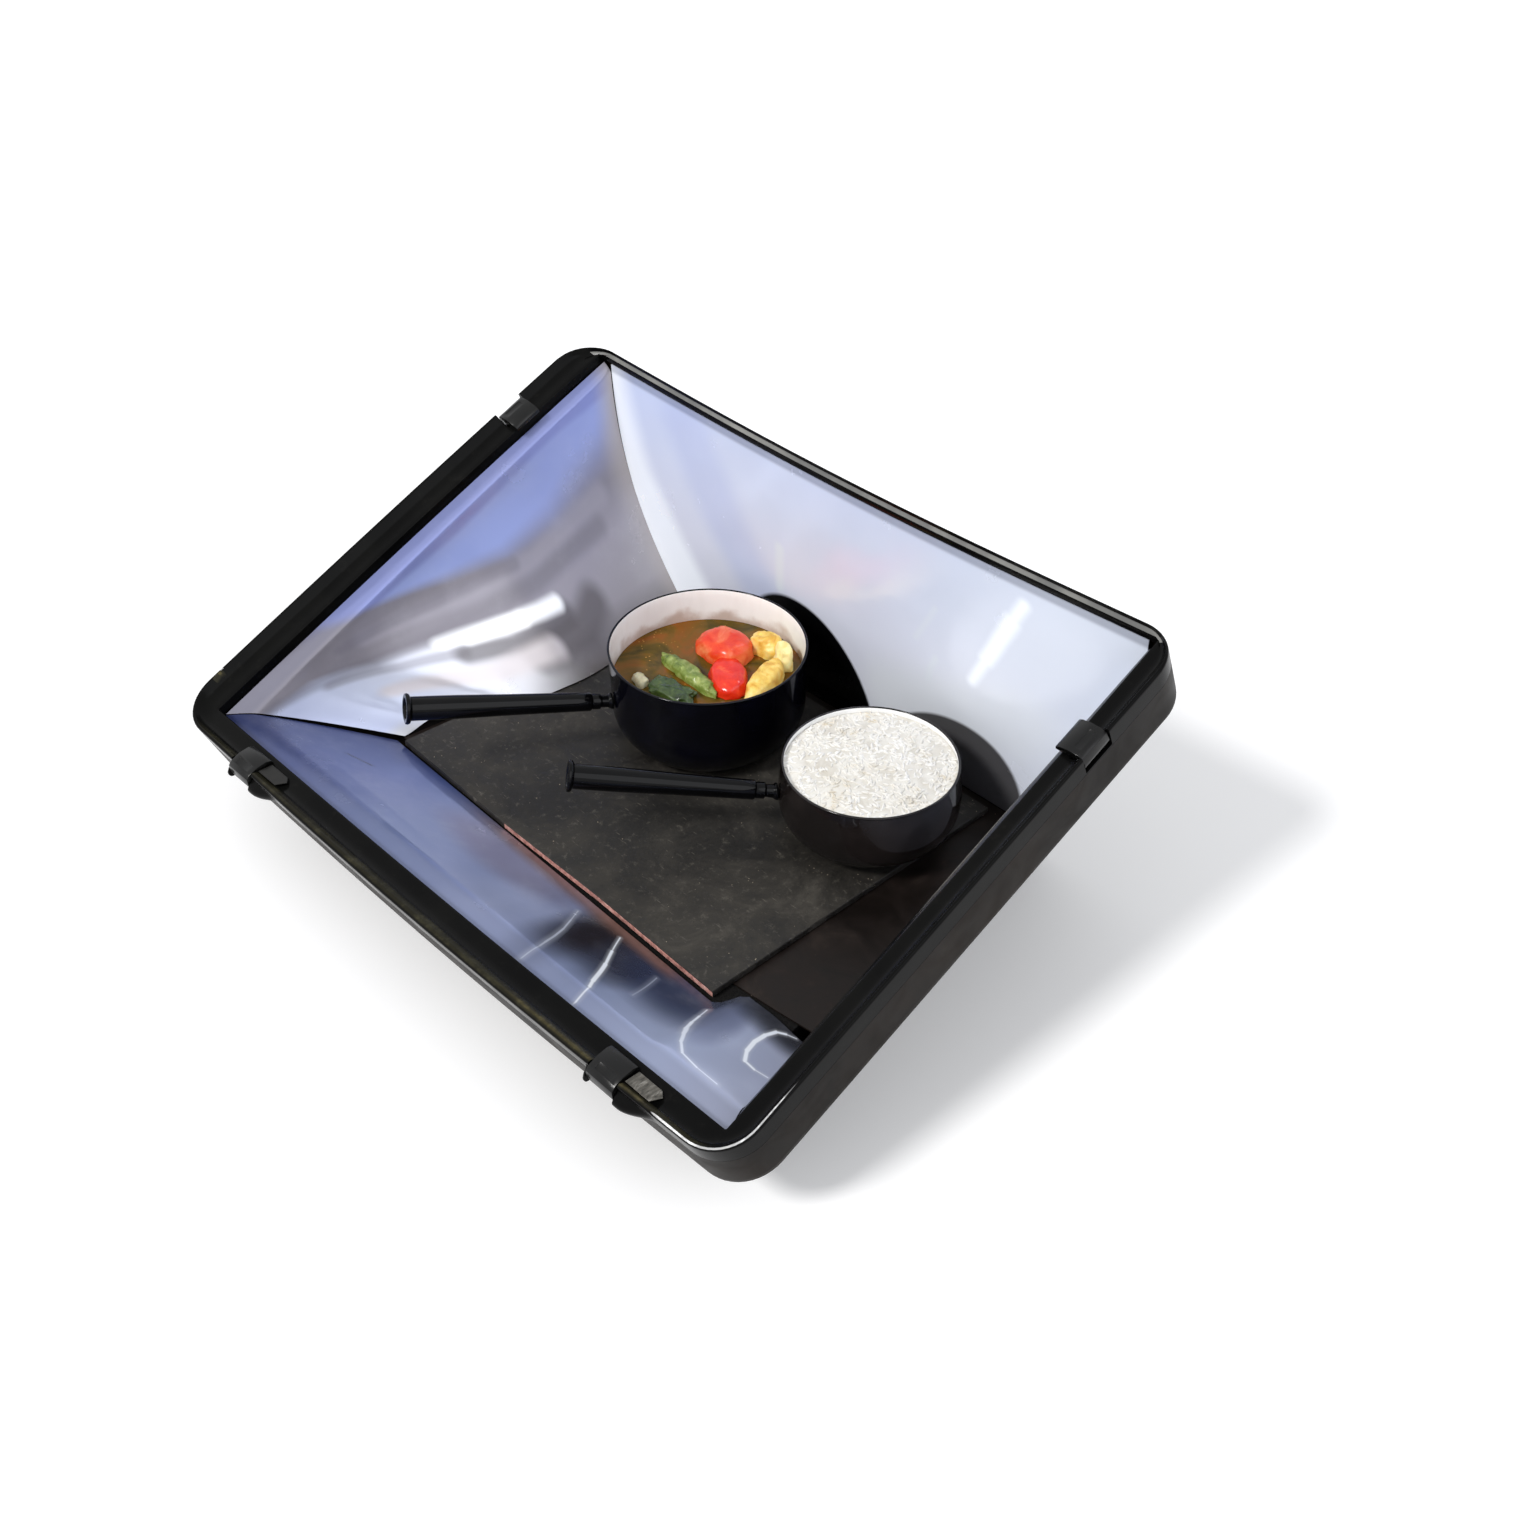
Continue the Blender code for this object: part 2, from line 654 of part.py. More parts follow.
def make_feet():
    top = FOOT_HEIGHT - GAP
    head_room = SCREW_HEAD + 0.0015
    hole = SCREW_RADIUS + GAP
    bore = SCREW_HEAD_RADIUS + GAP
    pad = [
        (hole, head_room),
        (bore, head_room),
        (bore, 0),
        (FOOT_RADIUS - 0.001, 0),
        (FOOT_RADIUS, 0.001),
        (FOOT_RADIUS - 0.001, top),
        (hole, top),
    ]
    head_top = head_room - GAP
    screw = [
        (0, head_top - SCREW_HEAD),
        (SCREW_HEAD_RADIUS, head_top - SCREW_HEAD),
        (SCREW_HEAD_RADIUS, head_top),
        (SCREW_RADIUS, head_top),
        (SCREW_RADIUS, FOOT_HEIGHT + SHELL_WALL - GAP),
        (0, FOOT_HEIGHT + SHELL_WALL - GAP),
    ]
    for name, (x, y) in FEET.items():
        spot = Matrix.Translation(place(x, y, 0))
        turned("foot_" + name, pad, FOOT_RUBBER, 16, spot)
        turned("foot_screw_" + name, screw, STEEL, 12, spot)


# Each clip: name, a function from (along, out, up) to a point, the pivot and the barrel
def front_spot(middle):
    return lambda along, out, up: rim_point(middle + along, -out, up)


def side_spot(side, middle):
    return lambda along, out, up: rim_point(side * (MOUTH_HALF_WIDTH + out), middle + along, up)


CLIPS = {
    "front_left": (front_spot(FRONT_CLIP_PLACES["left"]), FRONT_PIVOT, FRONT_BARREL),
    "front_right": (front_spot(FRONT_CLIP_PLACES["right"]), FRONT_PIVOT, FRONT_BARREL),
    "left": (side_spot(-1, SIDE_CLIP_PLACES["left"]), SIDE_PIVOT, SIDE_BARREL),
    "right": (side_spot(1, SIDE_CLIP_PLACES["right"]), SIDE_PIVOT, SIDE_BARREL),
}


def extruded(name, spot, section, half_length, look):
    """An outline of (outward, up) drawn along the rim's edge."""
    rings = [[spot(along, out, up) for out, up in section] for along in (-half_length, half_length)]
    return loft(name, rings, look)


def clip_notch(clip):
    """The gap in the frame that a clip turns in."""
    spot, (_, up), barrel = clip
    floor = up - barrel - 0.0005
    if floor < 0.0018:
        floor = -0.010
    high = RIM_CREST + 0.010
    section = [(NOTCH_IN, floor), (0.050, floor), (0.050, high), (NOTCH_IN, high)]
    return extruded("notch", spot, section, CLIP_LENGTH / 2 + CLIP_SIDE_GAP, RIM_PLASTIC)


def clip_axle(clip, radius, half_length):
    spot, (out, up), _ = clip
    start = spot(-half_length, out, up)
    axis = spot(half_length, out, up) - start
    profile = [(0, 0), (radius, 0), (radius, axis.length), (0, axis.length)]
    return turned("axle", profile, STEEL, 12, axle_frame(start, axis.normalized()))


def clip_section(clip):
    """Barrel round the pin with a finger that lies over the rim's land."""
    _, (out, up), barrel = clip
    under = LAND_HEIGHT + 0.0009
    tip = out - CLIP_REACH
    root = min(NOTCH_IN + 0.0008, out - barrel)
    points = [(tip, under), (root, under)]
    for i in range(8):
        turn = math.radians(mix(185, 370, i / 7))
        points.append((out + barrel * math.cos(turn), up + barrel * math.sin(turn)))
    points += [
        (out + 0.0048, CLIP_TOP - 0.002),
        (out + 0.001, CLIP_TOP),
        (out - 0.007, CLIP_TOP),
        (tip + 0.004, CLIP_TOP - 0.002),
        (tip + 0.0005, under + 0.003),
    ]
    return points


def make_clips():
    for name, clip in CLIPS.items():
        spot, (out, up), _ = clip
        body = extruded("clip_" + name, spot, clip_section(clip), CLIP_LENGTH / 2, CLIP_PLASTIC)
        bore = clip_axle(clip, PIN_RADIUS + GAP, CLIP_LENGTH)
        cut(body, cutter("clip_bore_" + name, bore))
        set_origin(body, spot(0, out, up))
        reach = CLIP_LENGTH / 2 + CLIP_SIDE_GAP + PIN_ENGAGES
        pin = clip_axle(clip, PIN_RADIUS, reach)
        pin.name = "clip_pin_" + name


def make_strike_plates():
    """Small plates that lean on the frame's fillet, beside the front clips."""
    for name in ("left", "right"):
        spot, _, _ = CLIPS["front_" + name]
        start = CLIP_LENGTH / 2 + CLIP_SIDE_GAP + 0.0005
        low = (0.0155, LAND_HEIGHT + 0.0006)
        high = (0.0265, 0.0148)
        rings = []
        for lift in (0.0, STRIKE_THICKNESS):
            ends = [(start, low), (start, high), (start + STRIKE_LENGTH - 0.004, high)]
            ends += [(start + STRIKE_LENGTH, (0.019, 0.0114)), (start + STRIKE_LENGTH - 0.005, low)]
            rings.append([spot(along, out, up + lift) for along, (out, up) in ends])
        loft("strike_plate_" + name, rings, GREY_PLATE)


def pan_outline(pan, inset):
    """From the middle of the bottom up to below the bead, moved in by a wall."""
    base = pan["base_radius"] - inset / 2
    belly = pan["belly_radius"] - inset
    neck = pan["rim_radius"] - 0.0008 - inset
    low, middle = inset, pan["belly_height"]
    top = pan["height"] - PAN_BEAD
    points = [(0.0, low)]
    for i in range(6):
        turn = math.pi / 2 * i / 5
        radius = mix(base, belly, math.sin(turn))
        points.append((radius, mix(middle, low, math.cos(turn))))
    for part in (0.5, 1.0):
        points.append((mix(belly, neck, part ** 2), mix(middle, top, part)))
    return points


def make_pan(name, pan):
    """The pressed pan with its rolled bead, a handle on a socket, and the handle's end ring."""
    seat = FLOOR_TOP + MAT_THICKNESS + GAP
    hub = bpy.data.objects.new(name + "_place", None)
    hub.location = place(*pan["place"], seat)
    bpy.context.scene.collection.objects.link(hub)
    outside = pan_outline(pan, 0.0)
    inside = pan_outline(pan, PAN_WALL)
    bead = pan["rim_radius"]
    top = pan["height"]
    roll = [
        (bead, top - PAN_BEAD * 0.7),
        (bead, top - PAN_BEAD * 0.25),
        (bead - PAN_BEAD * 0.5, top),
        (bead - PAN_BEAD, top - PAN_BEAD * 0.3),
    ]
    pieces = [turned(name, outside + roll + inside[::-1], PAN_ENAMEL, 40)]
    turn = pan["handle_turn"]
    level = Vector((math.cos(turn), math.sin(turn), 0))
    rise = level * math.cos(HANDLE_RISE) + Vector((0, 0, math.sin(HANDLE_RISE)))
    wall = max(radius for radius, _ in outside)
    root = level * (wall + GAP) + Vector((0, 0, top - pan["handle_drop"]))
    rings = []
    aside = Vector((-level.y, level.x, 0))
    upward = rise.cross(aside)
    for along, radius, lean in ((0.0, 0.9, 0), (0.4, 1.0, 1), (1.0, 0.7, 1)):
        normal_up = upward if lean else Vector((0, 0, 1))
        centre = root + rise * (SOCKET_LENGTH * along)
        ring = []
        for i in range(12):
            angle = 2 * math.pi * i / 12
            swing = aside * math.cos(angle) + normal_up * math.sin(angle)
            ring.append(centre + swing * SOCKET_RADIUS * radius)
        rings.append(ring)
    pieces.append(loft(name + "_socket", rings, HANDLE_ENAMEL))
    start = root + rise * (SOCKET_LENGTH + GAP)
    length = pan["handle_length"] - SOCKET_LENGTH - END_RING_LENGTH - 2 * GAP
    grip = [
        (0, 0),
        (HANDLE_RADIUS * 0.8, 0),
        (HANDLE_RADIUS, 0.004),
        (HANDLE_RADIUS * 1.05, length),
        (0, length),
    ]
    pieces.append(turned(name + "_handle", grip, HANDLE_ENAMEL, 16, axle_frame(start, rise)))
    start = start + rise * (length + GAP)
    ring = [
        (0, 0),
        (END_RING_RADIUS * 0.85, 0),
        (END_RING_RADIUS, END_RING_LENGTH * 0.3),
        (END_RING_RADIUS, END_RING_LENGTH * 0.7),
        (END_RING_RADIUS * 0.85, END_RING_LENGTH),
        (0, END_RING_LENGTH),
    ]
    pieces.append(turned(name + "_end_ring", ring, HANDLE_ENAMEL, 16, axle_frame(start, rise)))
    return hub, pieces


def filling(name, pan, level, crown, look):
    """Food that fills a pan up to a level, with a low crown."""
    inside = pan_outline(pan, PAN_WALL + GAP)
    points = [point for point in inside if point[1] < level - 0.001]
    after = inside[len(points)]
    before = points[-1]
    part = (level - before[1]) / (after[1] - before[1])
    edge = mix(before[0], after[0], part)
    points.append((edge, level))
    if crown:
        points.append((edge * 0.7, level + crown * 0.7))
    points.append((0, level + crown))
    return turned(name, points, look, 32)


def lump(name, middle, half, turn, height, level, look):
    """A rounded piece of food with a flat underside."""
    rows = 4
    count = 12
    turn = math.radians(turn)
    rings = []
    for k in range(rows):
        lift = math.pi / 2 * k / rows
        ring = []
        for i in range(count):
            angle = 2 * math.pi * i / count
            x = half[0] * math.cos(angle) * math.cos(lift) ** 0.7
            y = half[1] * math.sin(angle) * math.cos(lift) ** 0.7
            spun_x = x * math.cos(turn) - y * math.sin(turn)
            spun_y = x * math.sin(turn) + y * math.cos(turn)
            ring.append(Vector((middle[0] + spun_x, middle[1] + spun_y, level + height * math.sin(lift))))
        rings.append(ring)
    return loft(name, rings, look)


def make_pans():
    looks = {"tomato": TOMATO, "potato": POTATO, "pepper": PEPPER, "onion": ONION}
    for name, pan in PANS.items():
        hub, pieces = make_pan(name, pan)
        if name == "large_pan":
            level = pan["height"] - STEW_BELOW_RIM
            pieces.append(filling("stew_broth", pan, level, 0.0, STEW_BROTH))
            for food, (middle, half, turn, height) in FOOD.items():
                look = looks[food.split("_")[0]]
                pieces.append(lump(food, middle, half, turn, height, level + GAP, look))
        else:
            level = pan["height"] - RICE_BELOW_RIM
            pieces.append(filling("rice", pan, level, RICE_CROWN, RICE))
        for piece in pieces:
            piece.parent = hub


make_case_shell()
make_rim_frame()
make_mirrors()
make_floor()
make_feet()
make_clips()
make_strike_plates()
make_pans()
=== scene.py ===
"""Looks of the solar cooker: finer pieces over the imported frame, their materials, light and camera.
Lengths are in metres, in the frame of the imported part."""

import math
import random

import bmesh
import bpy
from mathutils import Matrix, Vector, noise


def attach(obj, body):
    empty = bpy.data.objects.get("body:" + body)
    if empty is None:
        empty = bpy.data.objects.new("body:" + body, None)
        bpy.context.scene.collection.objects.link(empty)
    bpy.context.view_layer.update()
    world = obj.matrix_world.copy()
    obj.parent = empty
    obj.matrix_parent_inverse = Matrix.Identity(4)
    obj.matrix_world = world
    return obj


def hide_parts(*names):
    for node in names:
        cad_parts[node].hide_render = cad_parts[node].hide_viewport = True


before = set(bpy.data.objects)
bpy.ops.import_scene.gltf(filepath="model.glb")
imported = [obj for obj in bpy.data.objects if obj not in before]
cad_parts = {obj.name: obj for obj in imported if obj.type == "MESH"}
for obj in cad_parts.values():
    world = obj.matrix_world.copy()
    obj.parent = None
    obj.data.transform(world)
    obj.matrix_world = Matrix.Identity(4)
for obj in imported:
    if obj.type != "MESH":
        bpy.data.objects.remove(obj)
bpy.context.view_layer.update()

GAP = 0.0003
MAP_NAME = "st"
SMALL_STEP = 1e-4

# Mouth and heights
TILT = math.radians(22.8)
HALF = 0.2875
DEPTH = 0.4315
FOOT_HEIGHT = 0.008
SHELL_WALL = 0.003
FLOOR_TOP = 0.036
FRONT_EDGE_HEIGHT = 0.0981

# Rim frame
RIM_OUT = 0.0315
RIM_CREST = 0.018
RIM_BASE = 0.001
LAND_HEIGHT = 0.009
LIP_OUT = 0.009
LAND_OUT = 0.020
BACK_OUT = 0.0055
BACK_CREST = 0.012
CORNER_IN = 0.0015
CORNER_OUT = 0.035
LUG_OUT = 0.0105
LUG_HEIGHT = 0.010
LUG_TAIL = 0.032
LUG_LEAD = 0.006
LUG_AFTER = 0.004
BACK_BOW = 0.0072
LIP_BOW = 0.0022
FRONT_BOW = 0.0045
LEFT_BOW = 0.002
CORNER_STEPS = 12
RIM_MAP = 20

# Case
SKIRT_DEPTH = 0.033
SKIRT_BACK_BOW = 0.5
BASE_RISE = 0.010
BASE_INSET = 0.008
BASE_FRONT = 0.030
BASE_BACK = 0.424
BASE_FRONT_HALF = 0.250
BASE_BACK_HALF = 0.205
BASE_CORNER = 0.012
CASE_BELLY = 0.006

# Mirrors
SHEET = 0.0008
SEAM = 0.0006
FLARE_OUT = LIP_OUT - SHEET - GAP
FLARE_DEPTH = 0.008
FLARE_ROWS = 0.25
FLARE_SHARE = 0.06
FLARE_BEND = 1.6
MIRROR_LIFT = 0.0011
FLOOR_FRONT_HALF = 0.2397
FLOOR_BACK_HALF = 0.205
FLOOR_FRONT = 0.117
FLOOR_BACK = 0.406
FRONT_CURVE = 1.3
BACK_CURVE = 2.3
LEFT_CURL = 0.030
RIGHT_CURL = 0.006
CURL_START = 0.09
CURL_RUN = 0.27
BACK_BELLY = 0.004
FRONT_SAG = 0.003
FRONT_LOW_LEFT = 0.1095
FRONT_LOW_RIGHT = 0.0962
MAT_THICKNESS = 0.006
MAT_BACK = 0.395
MAT_RIGHT = 0.161
MAT_CORNERS = (
    (-0.2295, 0.111),
    (-0.088, 0.106),
    (0.031, 0.105),
    (MAT_RIGHT, 0.100),
    (MAT_RIGHT + 0.004, MAT_BACK),
    (-FLOOR_BACK_HALF, MAT_BACK),
)
MIRROR_CELLS = (96, 64)
MIRROR_WAVE = 0.0014
MIRROR_RIPPLE = 0.0003
MIRROR_OFFSET = 0.0006
# How brightly the painted highlights on the mirrors glow, though they are no lamp
HIGHLIGHT_GLOW_STRENGTH = 0.22
# Painted lines of a larger share than this are painted highlights of the sun, which also glow a little
GLOWING_SHARE = 0.9
# Length and depth of each sheet, to paint by
LEFT_MAP = (0.43, 0.20)
BACK_MAP = (0.575, 0.23)
FRONT_MAP = (0.575, 0.125)

# Clips
CLIP_LENGTH = 0.026
CLIP_SIDE_GAP = 0.001
NOTCH_HALF = CLIP_LENGTH / 2 + CLIP_SIDE_GAP
CLIP_REACH = 0.019
CLIP_TOP = 0.0175
NOTCH_IN = 0.018
NOTCH_OUT = 0.050
PIN_RADIUS = 0.002
FRONT_CLIP_PLACES = {"left": -0.221, "right": 0.209}
SIDE_CLIP_PLACES = {"left": 0.342, "right": 0.335}
FRONT_PIVOT = (0.0325, 0.0085)
SIDE_PIVOT = (0.025, 0.0085)
FRONT_BARREL = 0.007
SIDE_BARREL = 0.006
STRIKE_LENGTH = 0.027
STRIKE_THICKNESS = 0.0012

# Saucepans
PAN_WALL = 0.0016
PAN_BEAD = 0.0022
PAN_BASE_ROUND = 0.004
HANDLE_RISE = math.radians(10)
HANDLE_RADIUS = 0.0092
SOCKET_LENGTH = 0.018
SOCKET_RADIUS = 0.0075
END_RING_LENGTH = 0.0045
END_RING_RADIUS = 0.0125
# Place along the socket, share of its radius, and whether its ring leans with the handle
SOCKET_STAGES = (
    (0.0, 0.90, False), (0.10, 0.92, False), (0.22, 0.70, True), (0.55, 0.66, True),
    (0.60, 0.86, True), (0.92, 0.86, True), (1.0, 0.80, True),
)
# Shares of the end ring's radius and length
END_RING_SHAPE = (
    (0, 0), (0.80, 0), (0.94, 0.2), (1, 0.55), (0.97, 0.9), (0.86, 1), (0.66, 0.82), (0.56, 0.3), (0, 0.3),
)
STEW_BELOW_RIM = 0.030
RICE_BELOW_RIM = 0.0045
RICE_CROWN = 0.004
RICE_RADIUS = 0.067
RICE_SPREAD = 0.0655
RICE_GRAINS = 1100
PANS = {
    "large_pan": {
        "place": (-0.067, 0.306),
        "rim_radius": 0.082,
        "height": 0.0851,
        "base_radius": 0.052,
        "belly_radius": 0.0805,
        "belly_height": 0.034,
        "handle_turn": math.radians(243.5),
        "handle_length": 0.168,
        "handle_drop": 0.0396,
    },
    "small_pan": {
        "place": (0.1154, 0.308),
        "rim_radius": 0.069,
        "height": 0.0682,
        "base_radius": 0.030,
        "belly_radius": 0.0712,
        "belly_height": 0.036,
        "handle_turn": math.radians(231.5),
        "handle_length": 0.162,
        "handle_drop": 0.0255,
    },
}

# Scale, roughness, glow, bumps and colours of each kind of food
FOOD_LOOKS = {
    "tomato": (60.0, 0.18, 0.1, 0.3, (0.35, 208, 24, 8), (0.6, 232, 52, 20), (0.8, 240, 124, 70)),
    "tomato_flesh": (46.0, 0.22, 0.05, 0.3, (0.3, 216, 40, 14), (0.5, 230, 74, 32), (0.75, 240, 140, 90)),
    "potato": (80.0, 0.4, 0.2, 0.3, (0.3, 208, 146, 36), (0.5, 238, 200, 96), (0.75, 248, 230, 158)),
    "potato_pale": (80.0, 0.4, 0.2, 0.3, (0.3, 230, 206, 120), (0.6, 246, 234, 172), (0.8, 252, 246, 214)),
    "pepper": (120.0, 0.25, 0.05, 0.3, (0.3, 74, 92, 34), (0.5, 120, 138, 60), (0.75, 176, 186, 112)),
    "pepper_dark": (120.0, 0.2, 0.0, 0.3, (0.3, 28, 44, 16), (0.55, 58, 78, 34), (0.8, 104, 120, 60)),
    "onion": (120.0, 0.3, 0.2, 0.3, (0.3, 168, 162, 128), (0.7, 206, 202, 172)),
}

# Name, look, place in the pan, half size, turn, height, squareness and knobbliness of each piece
FOOD = (
    ("tomato_half", "tomato_flesh", (-0.012, 0.030), (0.026, 0.021), 0, 0.018, 0.7, 0.07),
    ("tomato_wedge", "tomato", (0.020, 0.004), (0.028, 0.017), -35, 0.013, 0.85, 0.08),
    ("potato_chunk", "potato", (0.010, 0.056), (0.019, 0.012), 5, 0.019, 0.7, 0.16),
    ("potato_cube", "potato_pale", (0.034, 0.053), (0.013, 0.009), -35, 0.022, 0.7, 0.16),
    ("potato_slice", "potato", (0.046, 0.020), (0.033, 0.012), 112, 0.016, 0.9, 0.08),
    ("pepper_strip", "pepper", (-0.008, -0.014), (0.044, 0.010), -4, 0.010, 0.95, 0.2),
    ("pepper_leaf", "pepper_dark", (0.000, -0.040), (0.029, 0.015), 8, 0.010, 0.7, 0.24),
    ("onion_piece", "onion", (-0.030, -0.048), (0.011, 0.007), -15, 0.008, 0.7, 0.2),
)

# Stage and camera
FLOOR_REACH = 30.0
CAMERA_PLACE = (0.8507, -0.697507, 0.9928)
CAMERA_AZIMUTH = math.radians(44.92)
CAMERA_ELEVATION = math.radians(37.61)
CAMERA_ROLL = math.radians(-0.695)
CAMERA_LENS = 43.127
CAMERA_SHIFT = (-0.020833, -0.03125)

FRONT_REACH = (RIM_OUT + LUG_OUT) * math.cos(TILT) + LUG_HEIGHT * math.sin(TILT)
FRONT_EDGE_Y = (FRONT_REACH - BASE_BACK) / 2
PAN_SEAT = FLOOR_TOP + MAT_THICKNESS + GAP


def mix(a, b, part):
    return a + (b - a) * part


def smooth(part):
    part = min(1.0, max(0.0, part))
    return part * part * (3 - 2 * part)


def rim_point(u, v, w):
    """A point given along the front edge, back along the mouth and out of its plane."""
    y = FRONT_EDGE_Y + v * math.cos(TILT) - w * math.sin(TILT)
    return Vector((u, y, FRONT_EDGE_HEIGHT + v * math.sin(TILT) + w * math.cos(TILT)))


def place(x, y, z):
    """A point given back from the mouth's front edge and up from the ground."""
    return Vector((x, FRONT_EDGE_Y + y, z))


def linked(name, data):
    """A new object in the scene."""
    made = bpy.data.objects.new(name, data)
    bpy.context.scene.collection.objects.link(made)
    return made


def shade(colour):
    """A colour for the shader: three parts are 0 to 255 as on screen, four stay as they are."""
    if len(colour) == 4:
        return colour
    parts = []
    for value in colour:
        value /= 255
        parts.append(value / 12.92 if value <= 0.04045 else ((value + 0.055) / 1.055) ** 2.4)
    return (*parts, 1.0)


class Nodes:
    """Short ways to add the nodes of a tree and to join them."""

    def __init__(self, tree):
        self.tree = tree

    def feed(self, socket, value):
        if isinstance(value, bpy.types.NodeSocket):
            self.tree.links.new(value, socket)
        elif value is not None:
            socket.default_value = shade(value) if socket.type == "RGBA" else value

    def add(self, kind, sockets=None, **settings):
        node = self.tree.nodes.new("ShaderNode" + kind)
        for key, value in settings.items():
            setattr(node, key, value)
        for key, value in (sockets or {}).items():
            self.feed(node.inputs[key], value)
        return node

    def math(self, kind, a, b):
        return self.add("Math", {0: a, 1: b}, operation=kind).outputs[0]

    def plus(self, a, b):
        return self.math("ADD", a, b)

    def less(self, a, b):
        return self.math("SUBTRACT", a, b)

    def times(self, first, *others):
        for other in others:
            first = self.math("MULTIPLY", first, other)
        return first

    def span(self, value, low, high, to_low=0.0, to_high=1.0, soft=True):
        """Turns one range of a value into another, held at both ends."""
        sockets = {"Value": value, 1: low, 2: high, 3: to_low, 4: to_high}
        kind = "SMOOTHSTEP" if soft else "LINEAR"
        return self.add("MapRange", sockets, interpolation_type=kind).outputs["Result"]


class Look(Nodes):
    """A procedural material, built from nodes in the object's own coordinates."""

    def __init__(self, name, **sockets):
        self.material = bpy.data.materials.new(name)
        self.material.use_nodes = True
        super().__init__(self.material.node_tree)
        self.shader = self.tree.nodes["Principled BSDF"]
        self.place = self.add("TexCoord").outputs["Object"]
        self.height = None
        for socket, value in sockets.items():
            self.set(socket.replace("_", " ").title().replace("Ior", "IOR"), value)

    def set(self, socket, value):
        self.feed(self.shader.inputs[socket], value)

    def stretched(self, scale, turn=(0, 0, 0)):
        sockets = {"Vector": self.place, "Scale": scale, "Rotation": turn}
        return self.add("Mapping", sockets).outputs["Vector"]

    def noise(self, scale, detail=3.0, rough=0.5, warp=0.0, vector=None):
        sockets = {"Vector": vector or self.place, "Scale": scale, "Detail": detail}
        sockets.update({"Roughness": rough, "Distortion": warp})
        return self.add("TexNoise", sockets).outputs["Fac"]

    def cells(self, scale):
        return self.add("TexVoronoi", {"Vector": self.place, "Scale": scale}).outputs["Distance"]

    def specks(self, scale, low, high, patches, least, most):
        """Small dots that show only in some patches."""
        dots = self.span(self.cells(scale), low, high, 1.0, 0.0)
        return self.times(dots, self.span(self.noise(patches, 2.0), least, most))

    def ramp(self, value, *stops):
        """Colours along a value: each stop is a spot and the parts of its colour."""
        node = self.add("ValToRGB", {"Fac": value})
        points = node.color_ramp.elements
        while len(points) < len(stops):
            points.new(0.5)
        for point, (spot, *colour) in zip(points, stops):
            point.position = spot
            point.color = shade(colour)
        return node.outputs["Color"]

    def level(self, value, *stops):
        """Plain numbers along a value: each stop is a spot and its number."""
        return self.ramp(value, *((spot, number, number, number, 1.0) for spot, number in stops))

    def mix(self, part, a, b):
        return self.add("Mix", {0: part, 6: a, 7: b}, data_type="RGBA").outputs[2]

    def vector(self, kind, a, b, output="Vector"):
        return self.add("VectorMath", {0: a, 1: b}, operation=kind).outputs[output]

    def axes(self, vector):
        return self.add("SeparateXYZ", {"Vector": vector}).outputs

    def map(self):
        return self.axes(self.add("UVMap", uv_map=MAP_NAME).outputs["UV"])

    def bump(self, height, strength, distance):
        sockets = {"Height": height, "Strength": strength, "Distance": distance}
        if self.height is not None:
            sockets["Normal"] = self.height
        self.height = self.add("Bump", sockets).outputs["Normal"]
        self.set("Normal", self.height)


# Materials
def plastic(name, dark, pale, roughness, specular, grain=900.0):
    """Moulded plastic: faint mottling, patches of dust and a fine skin."""
    look = Look(name, specular_ior_level=specular)
    blotch = look.noise(14.0, 4.0, 0.6, 0.4)
    dust = look.span(look.noise(70.0, 6.0, 0.7), 0.56, 0.80)
    colour = look.mix(look.span(blotch, 0.35, 0.7), dark, pale)
    look.set("Base Color", look.mix(look.times(dust, 0.16), colour, (52, 50, 46)))
    smear = look.noise(30.0, 3.0, 0.5, 0.8)
    look.set("Roughness", look.span(smear, 0.3, 0.75, roughness, roughness + 0.12))
    look.bump(look.noise(grain, 2.0), 0.03, 0.0002)
    look.bump(look.noise(26.0, 2.0), 0.12, 0.002)
    return look


def rim_look():
    """The rim's map runs along it, and across it from the mouth outward, in metres times RIM_MAP."""
    look = plastic("rim_plastic", (8, 8, 8), (14, 14, 13), 0.14, 0.06)
    s, t, _ = look.map()
    base = look.shader.inputs["Base Color"].links[0].from_socket
    # Painted highlights: an olive sheen along the front bead, gold flecks on it and a white crescent glint at
    # the front right corner, broken up by noisy flecks
    highlight_flecks = look.span(look.noise(60.0, 4.0, 0.7), 0.45, 0.75)
    for points, half, soft, tone, share in (
        (((0.11, 0.560), (0.30, 0.575), (0.425, 0.560)), 0.020, 0.030, (72, 69, 52), 0.45),
        (((0.31, 0.575), (0.38, 0.570)), 0.006, 0.020, (150, 136, 88), 0.20),
        (((0.430, 0.600), (0.475, 0.603), (0.512, 0.596)), 0.010, 0.006, (245, 245, 245), 1.0),
    ):
        part = line_part(look, s, t, (1.0, 1.0), points, half, soft)
        part = look.times(part, look.plus(look.times(highlight_flecks, share), share * 0.5))
        base = look.mix(part, base, tone)
    look.set("Base Color", base)
    return look.material


def painted_sky_sheen_look():
    """The narrow flat of the back edge, painted pale as a painted reflection of the sky."""
    return plastic("rim_strip", (104, 104, 102), (140, 139, 134), 0.30, 0.4).material


def case_look():
    return plastic("case_plastic", (12, 7, 4), (25, 17, 10), 0.40, 0.10, 1400.0).material


def clip_look():
    return plastic("clip_plastic", (5, 5, 5), (15, 15, 14), 0.18, 0.30).material


def mirror_look(name, metallic, warp=0.030):
    """The start of a mirror's material, with its map a little wavy."""
    look = Look(name, metallic=metallic)
    s, t, _ = look.map()
    wave = look.span(look.noise(6.0, 1.0, 0.4, 0.2), 0.2, 0.8, -warp, warp, False)
    return look, look.plus(s, wave), look.plus(t, wave)


